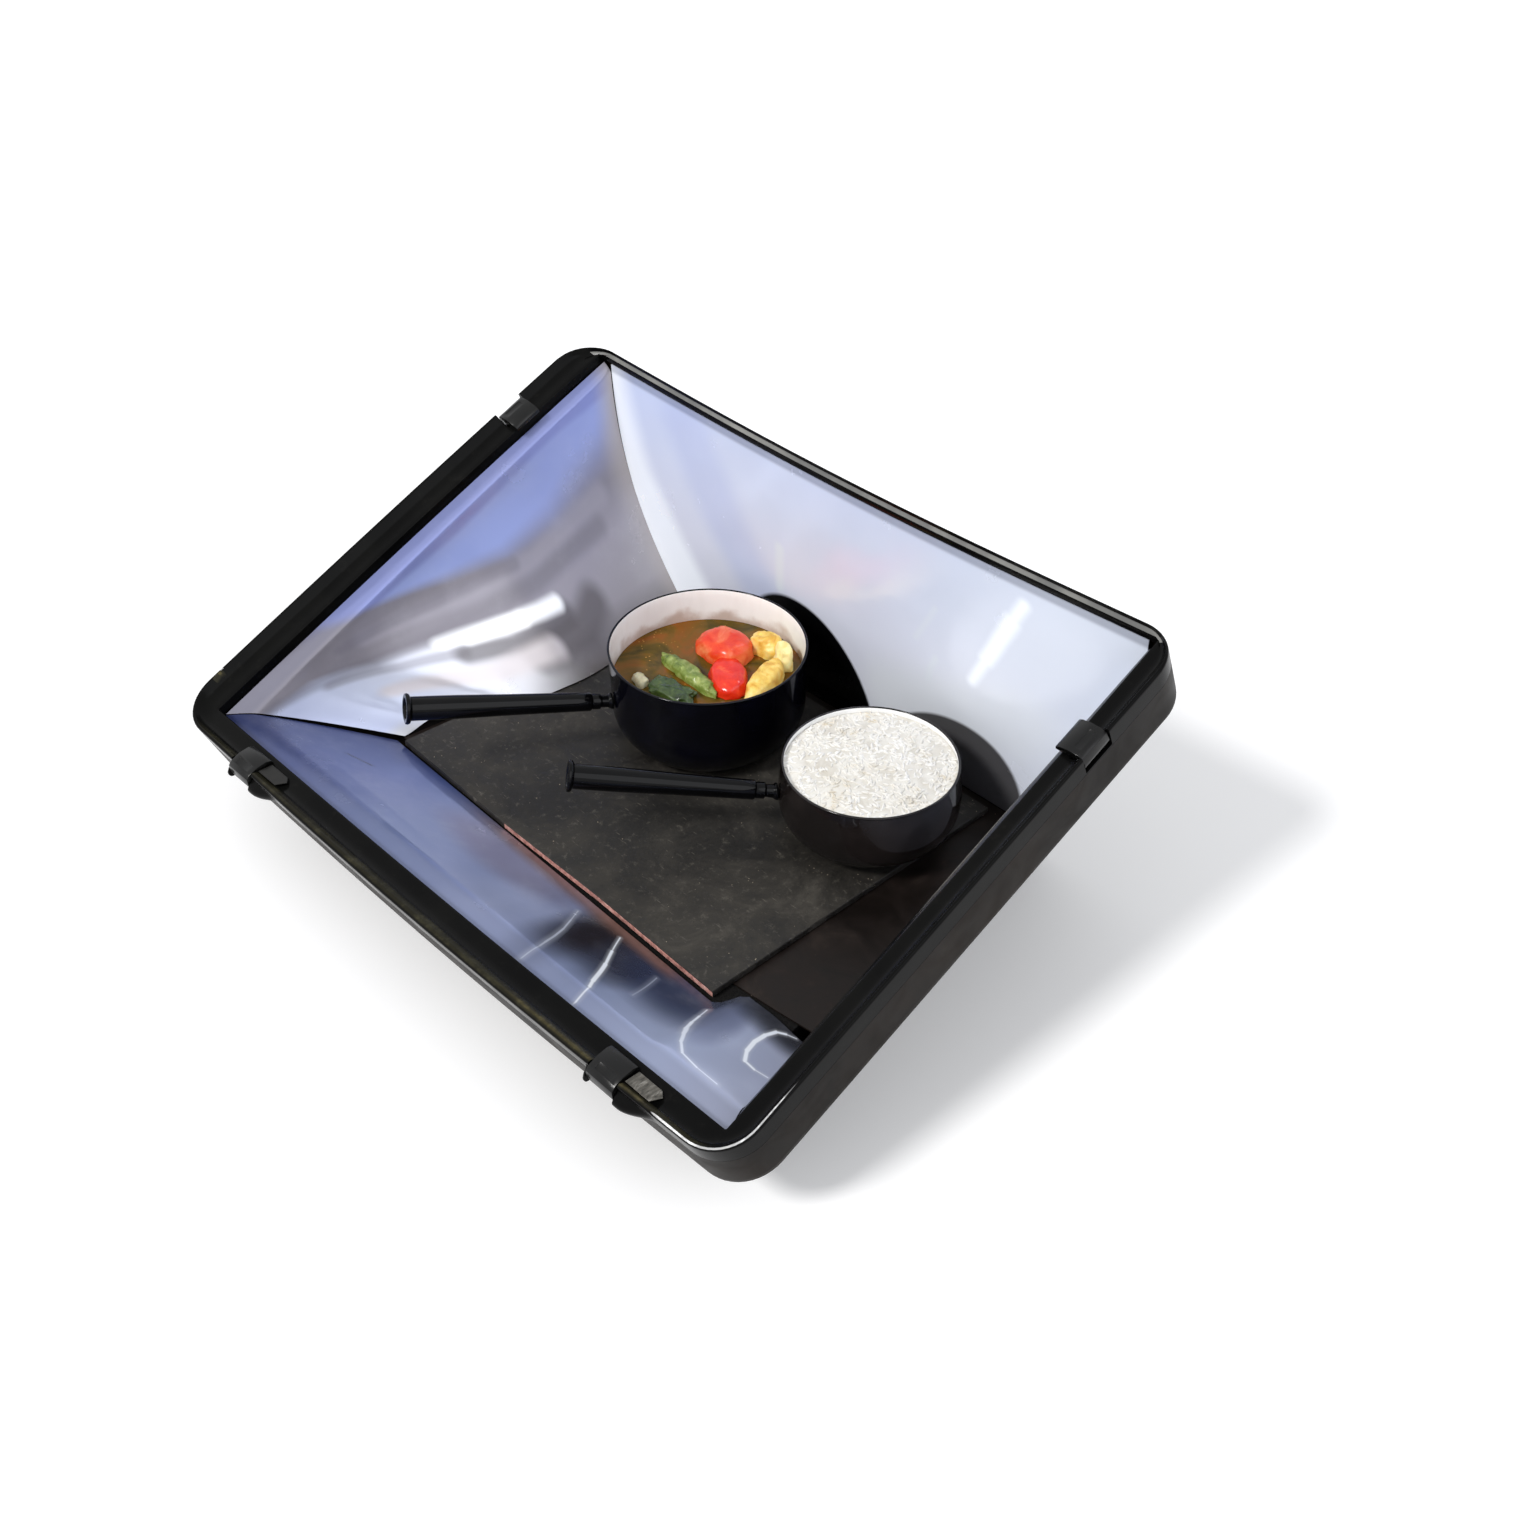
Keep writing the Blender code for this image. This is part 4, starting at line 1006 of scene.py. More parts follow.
def make_rim_frame(look, back_flat_sheen_look):
    """One section all round: outer wall, crest, land, inner lip and the spigot into the case.
    Each row has out and up at the front and sides, the same at the back, then the shares that
    bow with the lip, bow with the wall and rise with the lugs."""
    spigot_out = RIM_OUT - SHELL_WALL - GAP
    back_spigot = BACK_OUT - SHELL_WALL - GAP
    section = [
        (RIM_OUT, RIM_BASE, BACK_OUT, RIM_BASE, 0, 1, 0),
        (RIM_OUT, 0.003, BACK_OUT, 0.003, 0, 1, 1),
        (RIM_OUT, LUG_HEIGHT, BACK_OUT, 0.008, 0, 1, 1),
        (RIM_OUT, 0.0135, BACK_OUT, 0.010, 0, 1, 0),
        (RIM_OUT, RIM_CREST - 0.001, BACK_OUT, BACK_CREST - 0.001, 0, 1, 0),
        (RIM_OUT - 0.001, RIM_CREST, BACK_OUT - 0.0005, BACK_CREST, 0, 0.9, 0),
        (RIM_OUT - 0.0025, RIM_CREST, 0.0046, BACK_CREST, 0, 0.7, 0),
        (RIM_OUT - 0.0035, RIM_CREST - 0.0015, 0.0042, BACK_CREST - 0.001, 0, 0.5, 0),
        (0.025, 0.012, 0.0039, 0.0088, 0, 0.1, 0),
        (LAND_OUT, LAND_HEIGHT + 0.0005, 0.0026, 0.0074, 0.3, 0, 0),
        (LIP_OUT + 0.0008, LAND_HEIGHT, 0.0014, 0.0062, 1, 0, 0),
        (LIP_OUT, LAND_HEIGHT - 0.0008, 0.0010, 0.0056, 1, 0, 0),
        (LIP_OUT, GAP, 0.0009, GAP, 1, 0, 0),
        (0.022, GAP, 0.0016, GAP, 0.3, 0, 0),
        (0.022, -0.004, 0.0017, GAP, 0.3, 0, 0),
        (spigot_out, -0.004, back_spigot, GAP, 0, 1, 0),
        (spigot_out, RIM_BASE, back_spigot + 0.0001, RIM_BASE, 0, 1, 0),
    ]
    seen = softened(section[:12], 0.42, 3)[4:-4]
    rows = [section[0]] + seen + [section[11]] + section[12:]
    rings = []
    for out, up, back_out, back_up, lip, wall, lug in rows:
        points = outline(HALF + out, -out, DEPTH + back_out, corner_at(out), front_stations())
        ring = []
        for u, v, back in points:
            u, v = bowed(u, v, out, back, lip, wall, lug)
            share = min(1.0, 2.5 * back) if up < 0 else back
            ring.append(rim_point(u, v, mix(up, back_up, share)))
        rings.append(ring)
    at_back = [share > 0.6 for _, _, share in points]

    # Faces of the back flat that take the painted sky reflection
    def pale(k, i):
        up = rows[k][3]
        return int(at_back[i] and 0.0064 < up < 0.0092 and rows[k][1] > GAP and rows[k][0] < 0.0265)

    maps = [(i / len(points), RIM_MAP * row[0]) for row in rows for i in range(len(points))]
    made = loft("rim_moulding", rings, [look, back_flat_sheen_look], closed=True, sharp=40, picks=pale, maps=maps)
    made.modifiers.new("flat_faces", "TRIANGULATE")
    tools = []
    for spot, (_, up), barrel in CLIPS.values():
        low = up - barrel - 0.0005
        if low < 0.0018:
            low = -0.010
        high = RIM_CREST + 0.010
        section = [(NOTCH_IN, low), (NOTCH_OUT, low), (NOTCH_OUT, high), (NOTCH_IN, high)]
        tools.append(extruded("notch", spot, section, NOTCH_HALF, look))
    cut(made, tools)
    smoothed(made.data, 38)
    put(made, "root", "rim_plastic", "rim_frame")


def case_skin(inset):
    """One skin of the case from the rim down to its floor, with a rounded step under the skirt."""
    fractions = [-0.95 + 0.1 * i for i in range(20)]
    out = RIM_OUT - inset
    half, corner = HALF + RIM_OUT - inset, CORNER_OUT - inset
    stations = [(half - corner) * part for part in fractions]
    top = outline(half, -RIM_OUT + inset, DEPTH + BACK_OUT - inset, corner, stations)
    rings = []
    for part in (0.0, 0.1, 0.5, 0.9, 1.0):
        up = mix(RIM_BASE - GAP, -SKIRT_DEPTH, part)
        share = mix(1.0, SKIRT_BACK_BOW, part)
        moved = [bowed(u, v, out, back * share, 0, 1) for u, v, back in top]
        rings.append([rim_point(u, v, up) for u, v in moved])
    skirt = rings[-1]
    half, corner = BASE_FRONT_HALF - inset, BASE_CORNER - inset / 2
    stations = [(half - corner) * part for part in fractions]
    base = outline(half, BASE_FRONT + inset, BASE_BACK - inset, corner, stations, BASE_BACK_HALF - inset)
    low = [place(x, y, FOOT_HEIGHT + BASE_RISE) for x, y, _ in base]
    for part in (0.05, 0.12, 0.2, 0.35, 0.5, 0.6, 0.7, 0.8, 0.9, 0.97):
        belly = CASE_BELLY * 6.75 * part * part * (1 - part)
        ring = []
        for a, b in zip(skirt, low):
            point = a.lerp(b, part)
            point.x += math.copysign(belly * smooth((abs(point.x) - 0.15) / 0.08), point.x)
            ring.append(point)
        rings.append(ring)
    centre = Vector((0, (BASE_FRONT + BASE_BACK) / 2 + FRONT_EDGE_Y, 0))
    floor = [point.lerp(centre, BASE_INSET / BASE_BACK_HALF) for point in low]
    for point in floor:
        point.z = FOOT_HEIGHT + inset
    return [*rings, low, floor]


def make_case(look):
    rings = case_skin(0.0)[::-1] + case_skin(SHELL_WALL)
    put(loft("case_moulding", rings, [look], sharp=50), "root", "case_plastic", "case_shell")


def side_edge(s, curl):
    """The lower edge of a side mirror, curled out toward its front end."""
    bulge = curl * smooth((s - CURL_START) / CURL_RUN) * (1 - smooth(2 * s - 1))
    return mix(FLOOR_FRONT_HALF, FLOOR_BACK_HALF, s) - bulge, mix(FLOOR_FRONT, FLOOR_BACK, s)


def fallen(t, top, low):
    """How far down a row lies between two points, and how much of the flare is left there."""
    knee = FLARE_DEPTH / (top.z - low.z)
    if t < FLARE_ROWS:
        return knee * t / FLARE_ROWS, (1 - t / FLARE_ROWS) ** FLARE_BEND
    return mix(knee, 1.0, (t - FLARE_ROWS) / (1 - FLARE_ROWS)), 0.0


def side_surface(side, curl, over_mat):
    def point(s, t):
        t = max(0.0, t)
        x, y = side_edge(s, curl)
        top = rim_point(0, s * DEPTH, 0)
        lift = MIRROR_LIFT
        if over_mat:
            lift += (MAT_THICKNESS + GAP) * smooth(s / CURL_START)
        low = place(0, y, FLOOR_TOP + lift)
        t, flare = fallen(t, top, low)
        curve = mix(FRONT_CURVE, BACK_CURVE, min(1.0, max(0.0, s)))
        middle = top.lerp(low, t) + (rim_point(0, -FLARE_OUT * flare * (1 - s), 0) - rim_point(0, 0, 0))
        out = (FLARE_OUT + LIP_BOW * hump(2 * s - 1, 1)) * flare
        middle.x = side * (HALF + out - (HALF - x) * t ** curve)
        return middle

    return point


def front_edge(x):
    """The front mirror's lower edge: in front of the slab, then up to the floor plate beside it."""
    if x > MAT_RIGHT:
        beside = 0.0225 * smooth((x - MAT_RIGHT - 0.005) / 0.012)
        return FRONT_LOW_RIGHT + beside - 0.003 * smooth((x - 0.2) / (FLOOR_FRONT_HALF - 0.2))
    return mix(FRONT_LOW_LEFT, FRONT_LOW_RIGHT, (x + FLOOR_FRONT_HALF) / (MAT_RIGHT + FLOOR_FRONT_HALF))


def front_surface(s, t):
    t = max(0.0, t)
    side = 2 * s - 1
    low = place(0, front_edge(side * FLOOR_FRONT_HALF), FLOOR_TOP + MIRROR_LIFT)
    t, flare = fallen(t, rim_point(0, 0, 0), low)
    out = (FLARE_OUT + LIP_BOW * hump(side, 1)) * flare
    half = HALF - (HALF - FLOOR_FRONT_HALF) * t ** FRONT_CURVE
    middle = rim_point(0, 0, 0).lerp(low, t) + rim_point(0, -out, 0) - rim_point(0, 0, 0)
    middle.z -= FRONT_SAG * math.sin(math.pi * min(1.0, t)) * hump(side, 1)
    middle.x = side * (half + FLARE_OUT * flare)
    return middle


def back_surface(s, t):
    t = max(0.0, t)
    side = 1 - 2 * s
    top = rim_point(0, DEPTH - back_bow(side * HALF), 0)
    low = place(0, FLOOR_BACK, FLOOR_TOP + MIRROR_LIFT)
    t, _ = fallen(t, top, low)
    half = HALF - (HALF - FLOOR_BACK_HALF) * t ** BACK_CURVE
    middle = top.lerp(low, t)
    middle.y += BACK_BELLY * math.sin(math.pi * min(1.0, t)) * hump(side, 1)
    middle.x = side * half
    return middle


def sheet_share(t):
    """The share of the height at a row share, to paint by: the flared rows are short."""
    if t < FLARE_ROWS:
        return FLARE_SHARE * t / FLARE_ROWS
    return mix(FLARE_SHARE, 1.0, (t - FLARE_ROWS) / (1 - FLARE_ROWS))


def make_mirror(name, surface, length, look, turned_round):
    """A thin sheet with soft waves; its map gives the place from the front or left and down."""
    near, far, maps = [], [], []
    columns, rows = MIRROR_CELLS
    for i in range(columns + 1):
        s = mix(SEAM / length, 1 - SEAM / length, i / columns)
        for j in range(rows + 1):
            t = j / rows
            here = surface(s, t)
            along = surface(s + SMALL_STEP, t) - surface(s - SMALL_STEP, t)
            fall = surface(s, t + SMALL_STEP) - surface(s, max(0.0, t - SMALL_STEP))
            outward = fall.cross(along).normalized()
            calm = min(1.0, 8 * s, 8 * (1 - s), 8 * max(0.0, t - FLARE_ROWS), 8 * (1 - t))
            wave = noise.noise(here * 9) * MIRROR_WAVE + noise.noise(here * 24) * MIRROR_RIPPLE
            here = here - outward * (wave + MIRROR_OFFSET) * calm
            near.append(here)
            far.append(here + outward * SHEET)
            maps.append((1 - s if turned_round else s, sheet_share(t)))
    across = rows + 1
    count = len(near)
    faces = []
    for i in range(columns):
        for j in range(rows):
            a = i * across + j
            b = a + across
            faces.append((a, b, b + 1, a + 1))
            faces.append((count + a, count + a + 1, count + b + 1, count + b))
    border = [i * across for i in range(columns + 1)]
    border += [columns * across + j for j in range(1, across)]
    border += [i * across + rows for i in range(columns - 1, -1, -1)]
    border += list(range(rows - 1, 0, -1))
    for a, b in zip(border, border[1:] + border[:1]):
        faces.append((a, count + a, count + b, b))
    made = shaped("mirror_" + name, near + far, faces, [look], 40, None, maps + maps)
    put(made, "root", "mirror_sheet", "reflector_" + name)


def make_mirrors(vessels):
    left = side_surface(-1, LEFT_CURL, True)
    right = side_surface(1, RIGHT_CURL, False)
    make_mirror("left", lambda s, t: left(1 - s, t), DEPTH, left_mirror_look(), True)
    make_mirror("right", right, DEPTH, right_mirror_look(), False)
    make_mirror("front", front_surface, 2 * HALF, front_mirror_look(), False)
    make_mirror("back", back_surface, 2 * HALF, back_mirror_look(vessels), True)


def make_mat():
    """The slab: a fine top with chipped edges, and a rose edge in front of its right part."""
    low, high = FLOOR_TOP + GAP, FLOOR_TOP + MAT_THICKNESS
    border, rose = [], []
    for k, (a, b) in enumerate(zip(MAT_CORNERS, MAT_CORNERS[1:] + MAT_CORNERS[:1])):
        steps = max(2, round(math.dist(a, b) / 0.004))
        for i in range(steps):
            border.append(Vector((mix(a[0], b[0], i / steps), mix(a[1], b[1], i / steps), 0)))
            rose.append(k in (1, 2))
    centre = Vector((-0.02, 0.25, 0))
    rings = []
    for inset, height in ((0.0004, low), (0, low + 0.0005), (0, high - 0.0007), (0.0005, high - 0.0001)):
        ring = []
        for spot in border:
            chip = 0.0005 * max(0.0, noise.noise(Vector((spot.x, spot.y, height)) * 260))
            moved = spot + (centre - spot).normalized() * (inset + chip)
            ring.append(place(moved.x, moved.y, height))
        rings.append(ring)
    for inset in (0.002, 0.006):
        ring = []
        for spot in border:
            moved = spot + (centre - spot).normalized() * inset
            ring.append(place(moved.x, moved.y, high - 0.0001 + 0.0001 * noise.noise(spot * 60)))
        rings.append(ring)
    looks = [mat_look(), mat_edge_look()]
    made = loft("mat_slab", rings, looks, sharp=35, picks=lambda k, i: int(rose[i] and k < 2))
    put(made, "root", "mat_slate", "absorber_mat")


# Clips
def front_spot(middle):
    """Gives points along, out and up from a place on the front edge."""
    return lambda along, out, up: rim_point(middle + along, -out, up)


def side_spot(side, middle):
    """Gives points along, out and up from a place on a side edge."""
    return lambda along, out, up: rim_point(side * (HALF + out), middle + along, up)


CLIPS = {
    "front_left": (front_spot(FRONT_CLIP_PLACES["left"]), FRONT_PIVOT, FRONT_BARREL),
    "front_right": (front_spot(FRONT_CLIP_PLACES["right"]), FRONT_PIVOT, FRONT_BARREL),
    "left": (side_spot(-1, SIDE_CLIP_PLACES["left"]), SIDE_PIVOT, SIDE_BARREL),
    "right": (side_spot(1, SIDE_CLIP_PLACES["right"]), SIDE_PIVOT, SIDE_BARREL),
}


def extruded(name, spot, section, half_length, look):
    """A straight piece along the rim, with a section of (out, up)."""
    rings = [[spot(along, out, up) for out, up in section] for along in (-half_length, half_length)]
    return loft(name, rings, [look])


def clip_section(clip):
    """A barrel round the pin, and a finger that reaches over the land."""
    _, (out, up), barrel = clip
    under = LAND_HEIGHT + 0.0009
    tip = out - CLIP_REACH
    root = min(NOTCH_IN + 0.0008, out - barrel)
    points = [(tip, under), (root, under)]
    for i in range(14):
        turn = math.radians(mix(185, 370, i / 13))
        points.append((out + barrel * math.cos(turn), up + barrel * math.sin(turn)))
    points += [
        (out + 0.0048, CLIP_TOP - 0.002),
        (out + 0.001, CLIP_TOP),
        (out - 0.007, CLIP_TOP),
        (tip + 0.004, CLIP_TOP - 0.002),
        (tip + 0.0005, under + 0.003),
    ]
    return points


def make_clips(look):
    """Moulded clips with a shallow dip for the thumb, bored for their pins."""
    for name, clip in CLIPS.items():
        spot, (out, up), _ = clip
        made = extruded("knuckle_" + name, spot, clip_section(clip), CLIP_LENGTH / 2, look)
        start, end = spot(-CLIP_LENGTH, out, up), spot(CLIP_LENGTH, out, up)
        turn = Vector((0, 0, 1)).rotation_difference(end - start).to_matrix().to_4x4()
        radius = PIN_RADIUS + GAP
        length = (end - start).length
        profile = [(0, 0), (radius, 0), (radius, length), (0, length)]
        bore = turned("bore", profile, [look], 20, Matrix.Translation(start) @ turn)
        floor = CLIP_TOP - 0.0006
        dip = [(out - 0.0055, floor), (out - 0.0055, 0.03), (out, 0.03), (out, floor)]
        cut(made, [bore, extruded("thumb_dip", spot, dip, 0.008, look)])
        baked(bevelled(made, 0.0005))
        smoothed(made.data, 40)
        put(made, "clip_" + name, "clip_plastic", "clip_" + name)


def make_strike_plates():
    worn = grey_plate_look()
    dark = plastic("dark_plate", (18, 18, 18), (34, 33, 31), 0.3, 0.2).material
    start = NOTCH_HALF + 0.0005
    end = start + STRIKE_LENGTH
    low, high = (0.0155, LAND_HEIGHT + 0.0006), (0.0265, 0.0148)
    ends = [(start, low), (start, high), (end - 0.004, high), (end, (0.019, 0.0114)), (end - 0.005, low)]
    for name, look in (("left", dark), ("right", worn)):
        spot, _, _ = CLIPS["front_" + name]
        rings = []
        for lift in (0.0, STRIKE_THICKNESS):
            rings.append([spot(along, out, up + lift) for along, (out, up) in ends])
        made = bevelled(loft("plate_" + name, rings, [look]), 0.0003)
        put(baked(made), "root", "grey_plate", "strike_plate_" + name)


# Saucepans and food
def pan_outline(pan, inset, steps=16):
    """One skin of a pan from the middle of its base up to its bead."""
    base = pan["base_radius"] - inset / 2
    belly = pan["belly_radius"] - inset
    neck = pan["rim_radius"] - 0.0008 - inset
    low, middle = inset, pan["belly_height"]
    top = pan["height"] - PAN_BEAD
    points = [(0.0, low)]
    for i in range(steps):
        turn = math.pi / 2 * i / (steps - 1)
        points.append((mix(base, belly, math.sin(turn)), mix(middle, low, math.cos(turn))))
    for i in range(8):
        part = (i + 1) / 8
        points.append((mix(belly, neck, part ** 2), mix(middle, top, part)))
    return points


def make_vessel(name, pan, look):
    """The pan itself: black outside, white inside, with a rolled bead."""
    outer = pan_outline(pan, 0.0)
    outside = rounded(outer[:3], PAN_BASE_ROUND)[:-1] + outer[3:]
    half = PAN_BEAD / 2
    roll = []
    for i in range(9):
        turn = math.radians(mix(-60, 190, i / 8))
        height = pan["height"] - half + half * math.sin(turn)
        roll.append((pan["rim_radius"] - half + half * math.cos(turn), height))
    profile = outside + roll + pan_outline(pan, PAN_WALL)[::-1]
    black = len(outside) + 7
    picks = [0] * black + [1] * (len(profile) - 1 - black)
    stain = PAN_SEAT + pan["height"] - STEW_BELOW_RIM if name == "large_pan" else 0.0
    seat = Matrix.Translation(place(*pan["place"], PAN_SEAT))
    made = turned(name + "_body", profile, [look, pan_inside_look(stain)], 128, seat, picks, 50)
    return put(made, name + "_lift", "pan_enamel", name)


def make_handle(name, pan, look):
    """A short socket on the pan's wall, a long grip and an end ring, along one rising line."""
    body = name + "_lift"
    turn = pan["handle_turn"]
    top = Vector((0, 0, 1))
    level = Vector((math.cos(turn), math.sin(turn), 0))
    rise = level * math.cos(HANDLE_RISE) + top * math.sin(HANDLE_RISE)
    wall = max(radius for radius, _ in pan_outline(pan, 0.0, 6))
    root = place(*pan["place"], PAN_SEAT) + level * (wall + GAP) + top * (pan["height"] - pan["handle_drop"])
    aside = Vector((-level.y, level.x, 0))
    upward = rise.cross(aside)
    rings = []
    for along, radius, leans in SOCKET_STAGES:
        ring = []
        for angle in around(32):
            swing = aside * math.cos(angle) + (upward if leans else top) * math.sin(angle)
            ring.append(root + rise * (SOCKET_LENGTH * along) + swing * SOCKET_RADIUS * radius)
        rings.append(ring)
    made = bevelled(loft(name + "_ferrule", rings, [look]), 0.0004)
    put(baked(made), body, "handle_enamel", name + "_socket")

    start = root + rise * (SOCKET_LENGTH + GAP)
    length = pan["handle_length"] - SOCKET_LENGTH - END_RING_LENGTH - 2 * GAP
    grip = [(0, 0), (HANDLE_RADIUS * 0.78, 0)]
    for i in range(13):
        part = i / 12
        radius = HANDLE_RADIUS * (0.84 + 0.21 * smooth(part * 1.1) + 0.012 * math.sin(9 * part))
        grip.append((min(radius, HANDLE_RADIUS * 1.05), mix(0.001, length, part)))
    grip += [(0.0062, length), (0, length)]
    axle = top.rotation_difference(rise).to_matrix().to_4x4()
    made = turned(name + "_grip", grip, [look], 48, Matrix.Translation(start) @ axle)
    put(made, body, "handle_enamel", name + "_handle")

    start = start + rise * (length + GAP)
    ring = [(END_RING_RADIUS * wide, END_RING_LENGTH * long) for wide, long in END_RING_SHAPE]
    made = turned(name + "_ring", ring, [look], 48, Matrix.Translation(start) @ axle, None, 50)
    put(made, body, "handle_enamel", name + "_end_ring")


def surface_of(name, pan, level, crown, look, ripple):
    """Food that fills a pan: its sides follow the wall, its top is uneven."""
    inside = pan_outline(pan, PAN_WALL + GAP)
    sides = [point for point in inside if point[1] < level - 0.001]
    before, after = sides[-1], inside[len(sides)]
    edge = mix(before[0], after[0], (level - before[1]) / (after[1] - before[1]))
    rows = sides[1:]
    for k in range(41):
        part = 1 - k / 40
        rows.append((edge * max(part, 0.004), level + crown * (1 - part ** 2)))
    rings = []
    for k, (radius, height) in enumerate(rows):
        ring = []
        for angle in around(96):
            spot = Vector((radius * math.cos(angle), radius * math.sin(angle), height))
            if k >= len(sides):
                spot.z += ripple * noise.noise(spot * 55) + ripple * 0.5 * noise.noise(spot * 140)
            ring.append(place(*pan["place"], PAN_SEAT) + spot)
        rings.append(ring)
    return loft(name, rings, [look], sharp=60)


def lump(name, look, middle, level, half, turn, height, square, rough, seed):
    """A rounded piece of food, knobbly, that stands in the broth."""
    turn = math.radians(turn)
    rings = []
    for k in range(14):
        lift = math.pi / 2 * k / 13.4
        waist = math.cos(lift) ** 0.4
        ring = []
        for angle in around(40):
            x = half[0] * math.copysign(abs(math.cos(angle)) ** square, math.cos(angle)) * waist
            y = half[1] * math.copysign(abs(math.sin(angle)) ** square, math.sin(angle)) * waist
            z = height * math.sin(lift)
            bend = noise.noise(Vector((x, y, z)) * 90 + Vector((seed, 0, 0)))
            bend += 0.5 * noise.noise(Vector((x, y, z)) * 260 + Vector((0, seed, 0)))
            scale = 1 - rough + rough * bend
            x, y, z = x * scale, y * scale, z * scale
            spun = (x * math.cos(turn) - y * math.sin(turn), x * math.sin(turn) + y * math.cos(turn))
            ring.append(Vector((middle[0] + spun[0], middle[1] + spun[1], level + z)))
        rings.append(ring)
    made = loft("food_" + name, rings, [look], sharp=70)
    put(made, "large_pan_lift", name.split("_")[0], name)


def make_stew():
    pan = PANS["large_pan"]
    level = pan["height"] - STEW_BELOW_RIM
    made = surface_of("broth", pan, level, 0.0, broth_look(), 0.0004)
    put(made, "large_pan_lift", "broth", "stew_broth")
    looks = {name: food_look(name, *values) for name, values in FOOD_LOOKS.items()}
    x, y = pan["place"]
    for seed, (name, look, middle, *form) in enumerate(FOOD, 1):
        where = (x + middle[0], FRONT_EDGE_Y + y + middle[1])
        lump(name, looks[look], where, PAN_SEAT + level + GAP, *form, seed)


def make_rice():
    """Cooked grains in a heap: a rough bed with loose grains lying on it."""
    pan = PANS["small_pan"]
    level = pan["height"] - RICE_BELOW_RIM - 0.0008
    stops = ((0.28, 206, 194, 170), (0.40, 228, 225, 218), (0.7, 236, 235, 232))
    look = food_look("rice", 34.0, 0.55, 0.0, 0.3, *stops)
    # The bed is painted a little darker than the grains: painted shade in the gaps between them
    under = food_look("rice_bed", 60.0, 0.6, 0.0, 0.4, (0.3, 204, 198, 186), (0.6, 227, 224, 216))
    bed = surface_of("rice_bed", pan, level, RICE_CROWN, under, 0.0007)
    put(bed, "small_pan_lift", "rice", "rice")
    chance = random.Random(7)
    points, faces = [], []
    rings, count = 5, 7
    for _ in range(RICE_GRAINS):
        reach = RICE_SPREAD * math.sqrt(chance.random())
        turn = 2 * math.pi * chance.random()
        middle = Vector((reach * math.cos(turn), reach * math.sin(turn), 0))
        part = reach / RICE_RADIUS
        middle.z = level + RICE_CROWN * (1 - part ** 2) + 0.0008 * chance.random() - 0.0006
        heading = 2 * math.pi * chance.random()
        tip = math.radians(chance.uniform(-22, 22))
        along = Vector((math.cos(heading) * math.cos(tip), math.sin(heading) * math.cos(tip), math.sin(tip)))
        aside = Vector((-math.sin(heading), math.cos(heading), 0))
        up = along.cross(aside)
        long = chance.uniform(0.0026, 0.0036)
        wide = chance.uniform(0.0009, 0.0012)
        bend = chance.uniform(-0.0004, 0.0004)
        start = len(points)
        centre = place(*pan["place"], PAN_SEAT) + middle
        for k in range(rings):
            share = (k / (rings - 1)) * 2 - 1
            girth = wide * math.sqrt(max(0.06, 1 - share ** 2))
            core = centre + along * (long * share) + aside * (bend * (1 - share ** 2))
            for angle in around(count):
                points.append(core + (aside * math.cos(angle) + up * math.sin(angle)) * girth)
        for k in range(rings - 1):
            for i in range(count):
                j = (i + 1) % count
                low = start + k * count
                faces.append((low + i, low + j, low + count + j, low + count + i))
        faces.append(tuple(start + i for i in reversed(range(count))))
        faces.append(tuple(len(points) - count + i for i in range(count)))
    put(shaped("rice_grains", points, faces, [look], 60), "small_pan_lift", "rice")


# Parts kept from the frame, ground, light and camera
def dress(names, look):
    """Gives carried-over parts of the frame their material."""
    for name in names:
        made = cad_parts[name]
        made.data.materials.clear()
        made.data.materials.append(look)


def make_floor():
    """A pale ground, a little brighter for the camera."""
    mesh = bpy.data.meshes.new("floor")
    corners = [(-1, -1), (1, -1), (1, 1), (-1, 1)]
    mesh.from_pydata([(FLOOR_REACH * x, FLOOR_REACH * y, 0) for x, y in corners], [], [(0, 1, 2, 3)])
    look = Look("floor", roughness=1.0, specular_ior_level=0.0)
    look.set("Base Color", look.ramp(look.noise(3.0, 2.0), (0.0, 250, 250, 251), (1.0, 254, 254, 254)))
    look.set("Emission Color", (1, 1, 1, 1))
    look.set("Emission Strength", look.times(look.add("LightPath").outputs["Is Camera Ray"], 0.10))
    mesh.materials.append(look.material)
    floor = linked("floor", mesh)


def make_surround():
    """White where it is seen or mirrored, and dimmer as a light."""
    world = bpy.data.worlds.new("surround")
    bpy.context.scene.world = world
    world.use_nodes = True
    nodes = Nodes(world.node_tree)
    path = nodes.add("LightPath").outputs
    clear = nodes.plus(nodes.plus(path["Is Camera Ray"], path["Is Glossy Ray"]), path["Is Transmission Ray"])
    backdrop = nodes.tree.nodes["Background"]
    nodes.feed(backdrop.inputs["Strength"], nodes.span(clear, 0.0, 1.0, 0.60, 1.0, False))
    nodes.feed(backdrop.inputs["Color"], (0.97, 0.98, 1.0, 1))


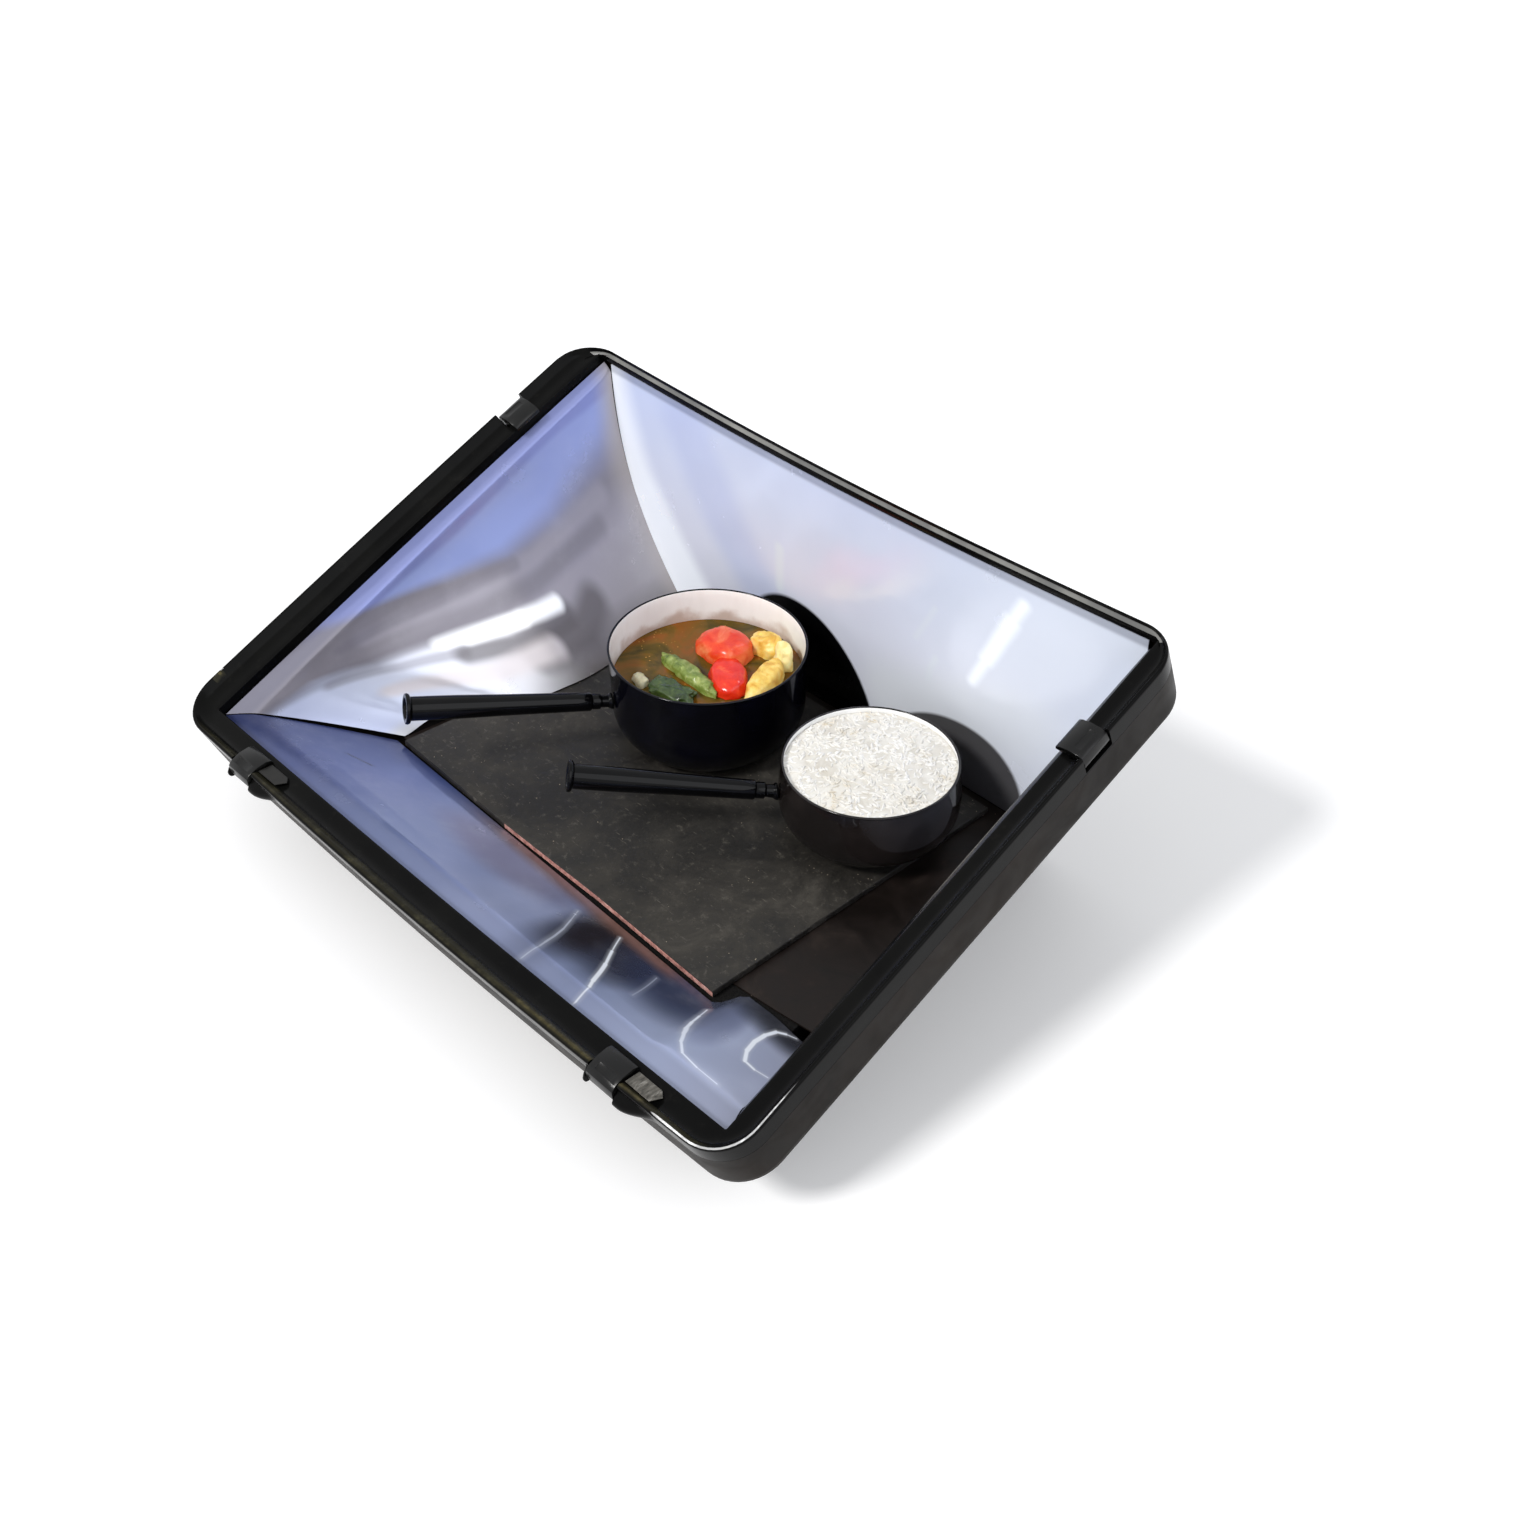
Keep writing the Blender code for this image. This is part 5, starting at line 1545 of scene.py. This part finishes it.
def make_lights():
    """A firm light from the front and a wide soft one from the right."""
    for name, source, strength, angle, colour in (
        ("key", (-0.20, -1.50, 1.55), 2.05, 11, (1.0, 0.988, 0.97)),
        ("fill", (1.5, -0.1, 1.3), 0.75, 50, (0.94, 0.96, 1.0)),
    ):
        lamp = bpy.data.lights.new(name, "SUN")
        lamp.energy = strength
        lamp.angle = math.radians(angle)
        lamp.color = colour
        made = linked(name, lamp)
        made.location = source
        made.rotation_euler = Vector(source).to_track_quat("Z", "Y").to_euler()


def make_camera():
    """The photo's view, as its lines and the pans' rims give it."""
    forward = Vector(
        (
            -math.sin(CAMERA_AZIMUTH) * math.cos(CAMERA_ELEVATION),
            math.cos(CAMERA_AZIMUTH) * math.cos(CAMERA_ELEVATION),
            -math.sin(CAMERA_ELEVATION),
        )
    )
    level = Vector((math.cos(CAMERA_AZIMUTH), math.sin(CAMERA_AZIMUTH), 0))
    down = forward.cross(level)
    right = level * math.cos(CAMERA_ROLL) + down * math.sin(CAMERA_ROLL)
    down = down * math.cos(CAMERA_ROLL) - level * math.sin(CAMERA_ROLL)
    lens = bpy.data.cameras.new("camera")
    lens.sensor_width = 36
    lens.lens = CAMERA_LENS
    lens.shift_x, lens.shift_y = CAMERA_SHIFT
    made = linked("camera", lens)
    turn = Matrix((right, -down, -forward)).transposed().to_4x4()
    made.matrix_world = Matrix.Translation(CAMERA_PLACE) @ turn
    bpy.context.scene.camera = made


def main():
    case, clip = case_look(), clip_look()
    make_rim_frame(rim_look(), painted_sky_sheen_look())
    make_case(case)
    make_mat()
    make_clips(clip)
    make_strike_plates()
    handle = enamel_look("handle_enamel", (4, 4, 5), (9, 9, 11), 0.16)
    black = enamel_look("pan_enamel", (5, 5, 10), (9, 9, 20), 0.22)
    brown = enamel_look("pan_enamel_brown", (20, 16, 15), (34, 29, 27), 0.40)
    vessels = {}
    for (name, pan), look in zip(PANS.items(), (black, brown)):
        vessels[name] = make_vessel(name, pan, look)
        make_handle(name, pan, handle)
    make_mirrors(vessels)
    make_stew()
    make_rice()
    corners = ("front_left", "front_right", "back_left", "back_right")
    dress(["floor_plate"], floor_look())
    dress(["insulation_" + side for side in ("floor", "front", "left", "right")], foam_look())
    dress(["foot_" + corner for corner in corners], rubber_look())
    screws = ["foot_screw_" + corner for corner in corners]
    dress(screws + ["clip_pin_" + name for name in CLIPS], steel_look())
    make_floor()
    make_surround()
    make_lights()
    make_camera()
    bpy.context.scene.view_settings.view_transform = "Standard"


main()
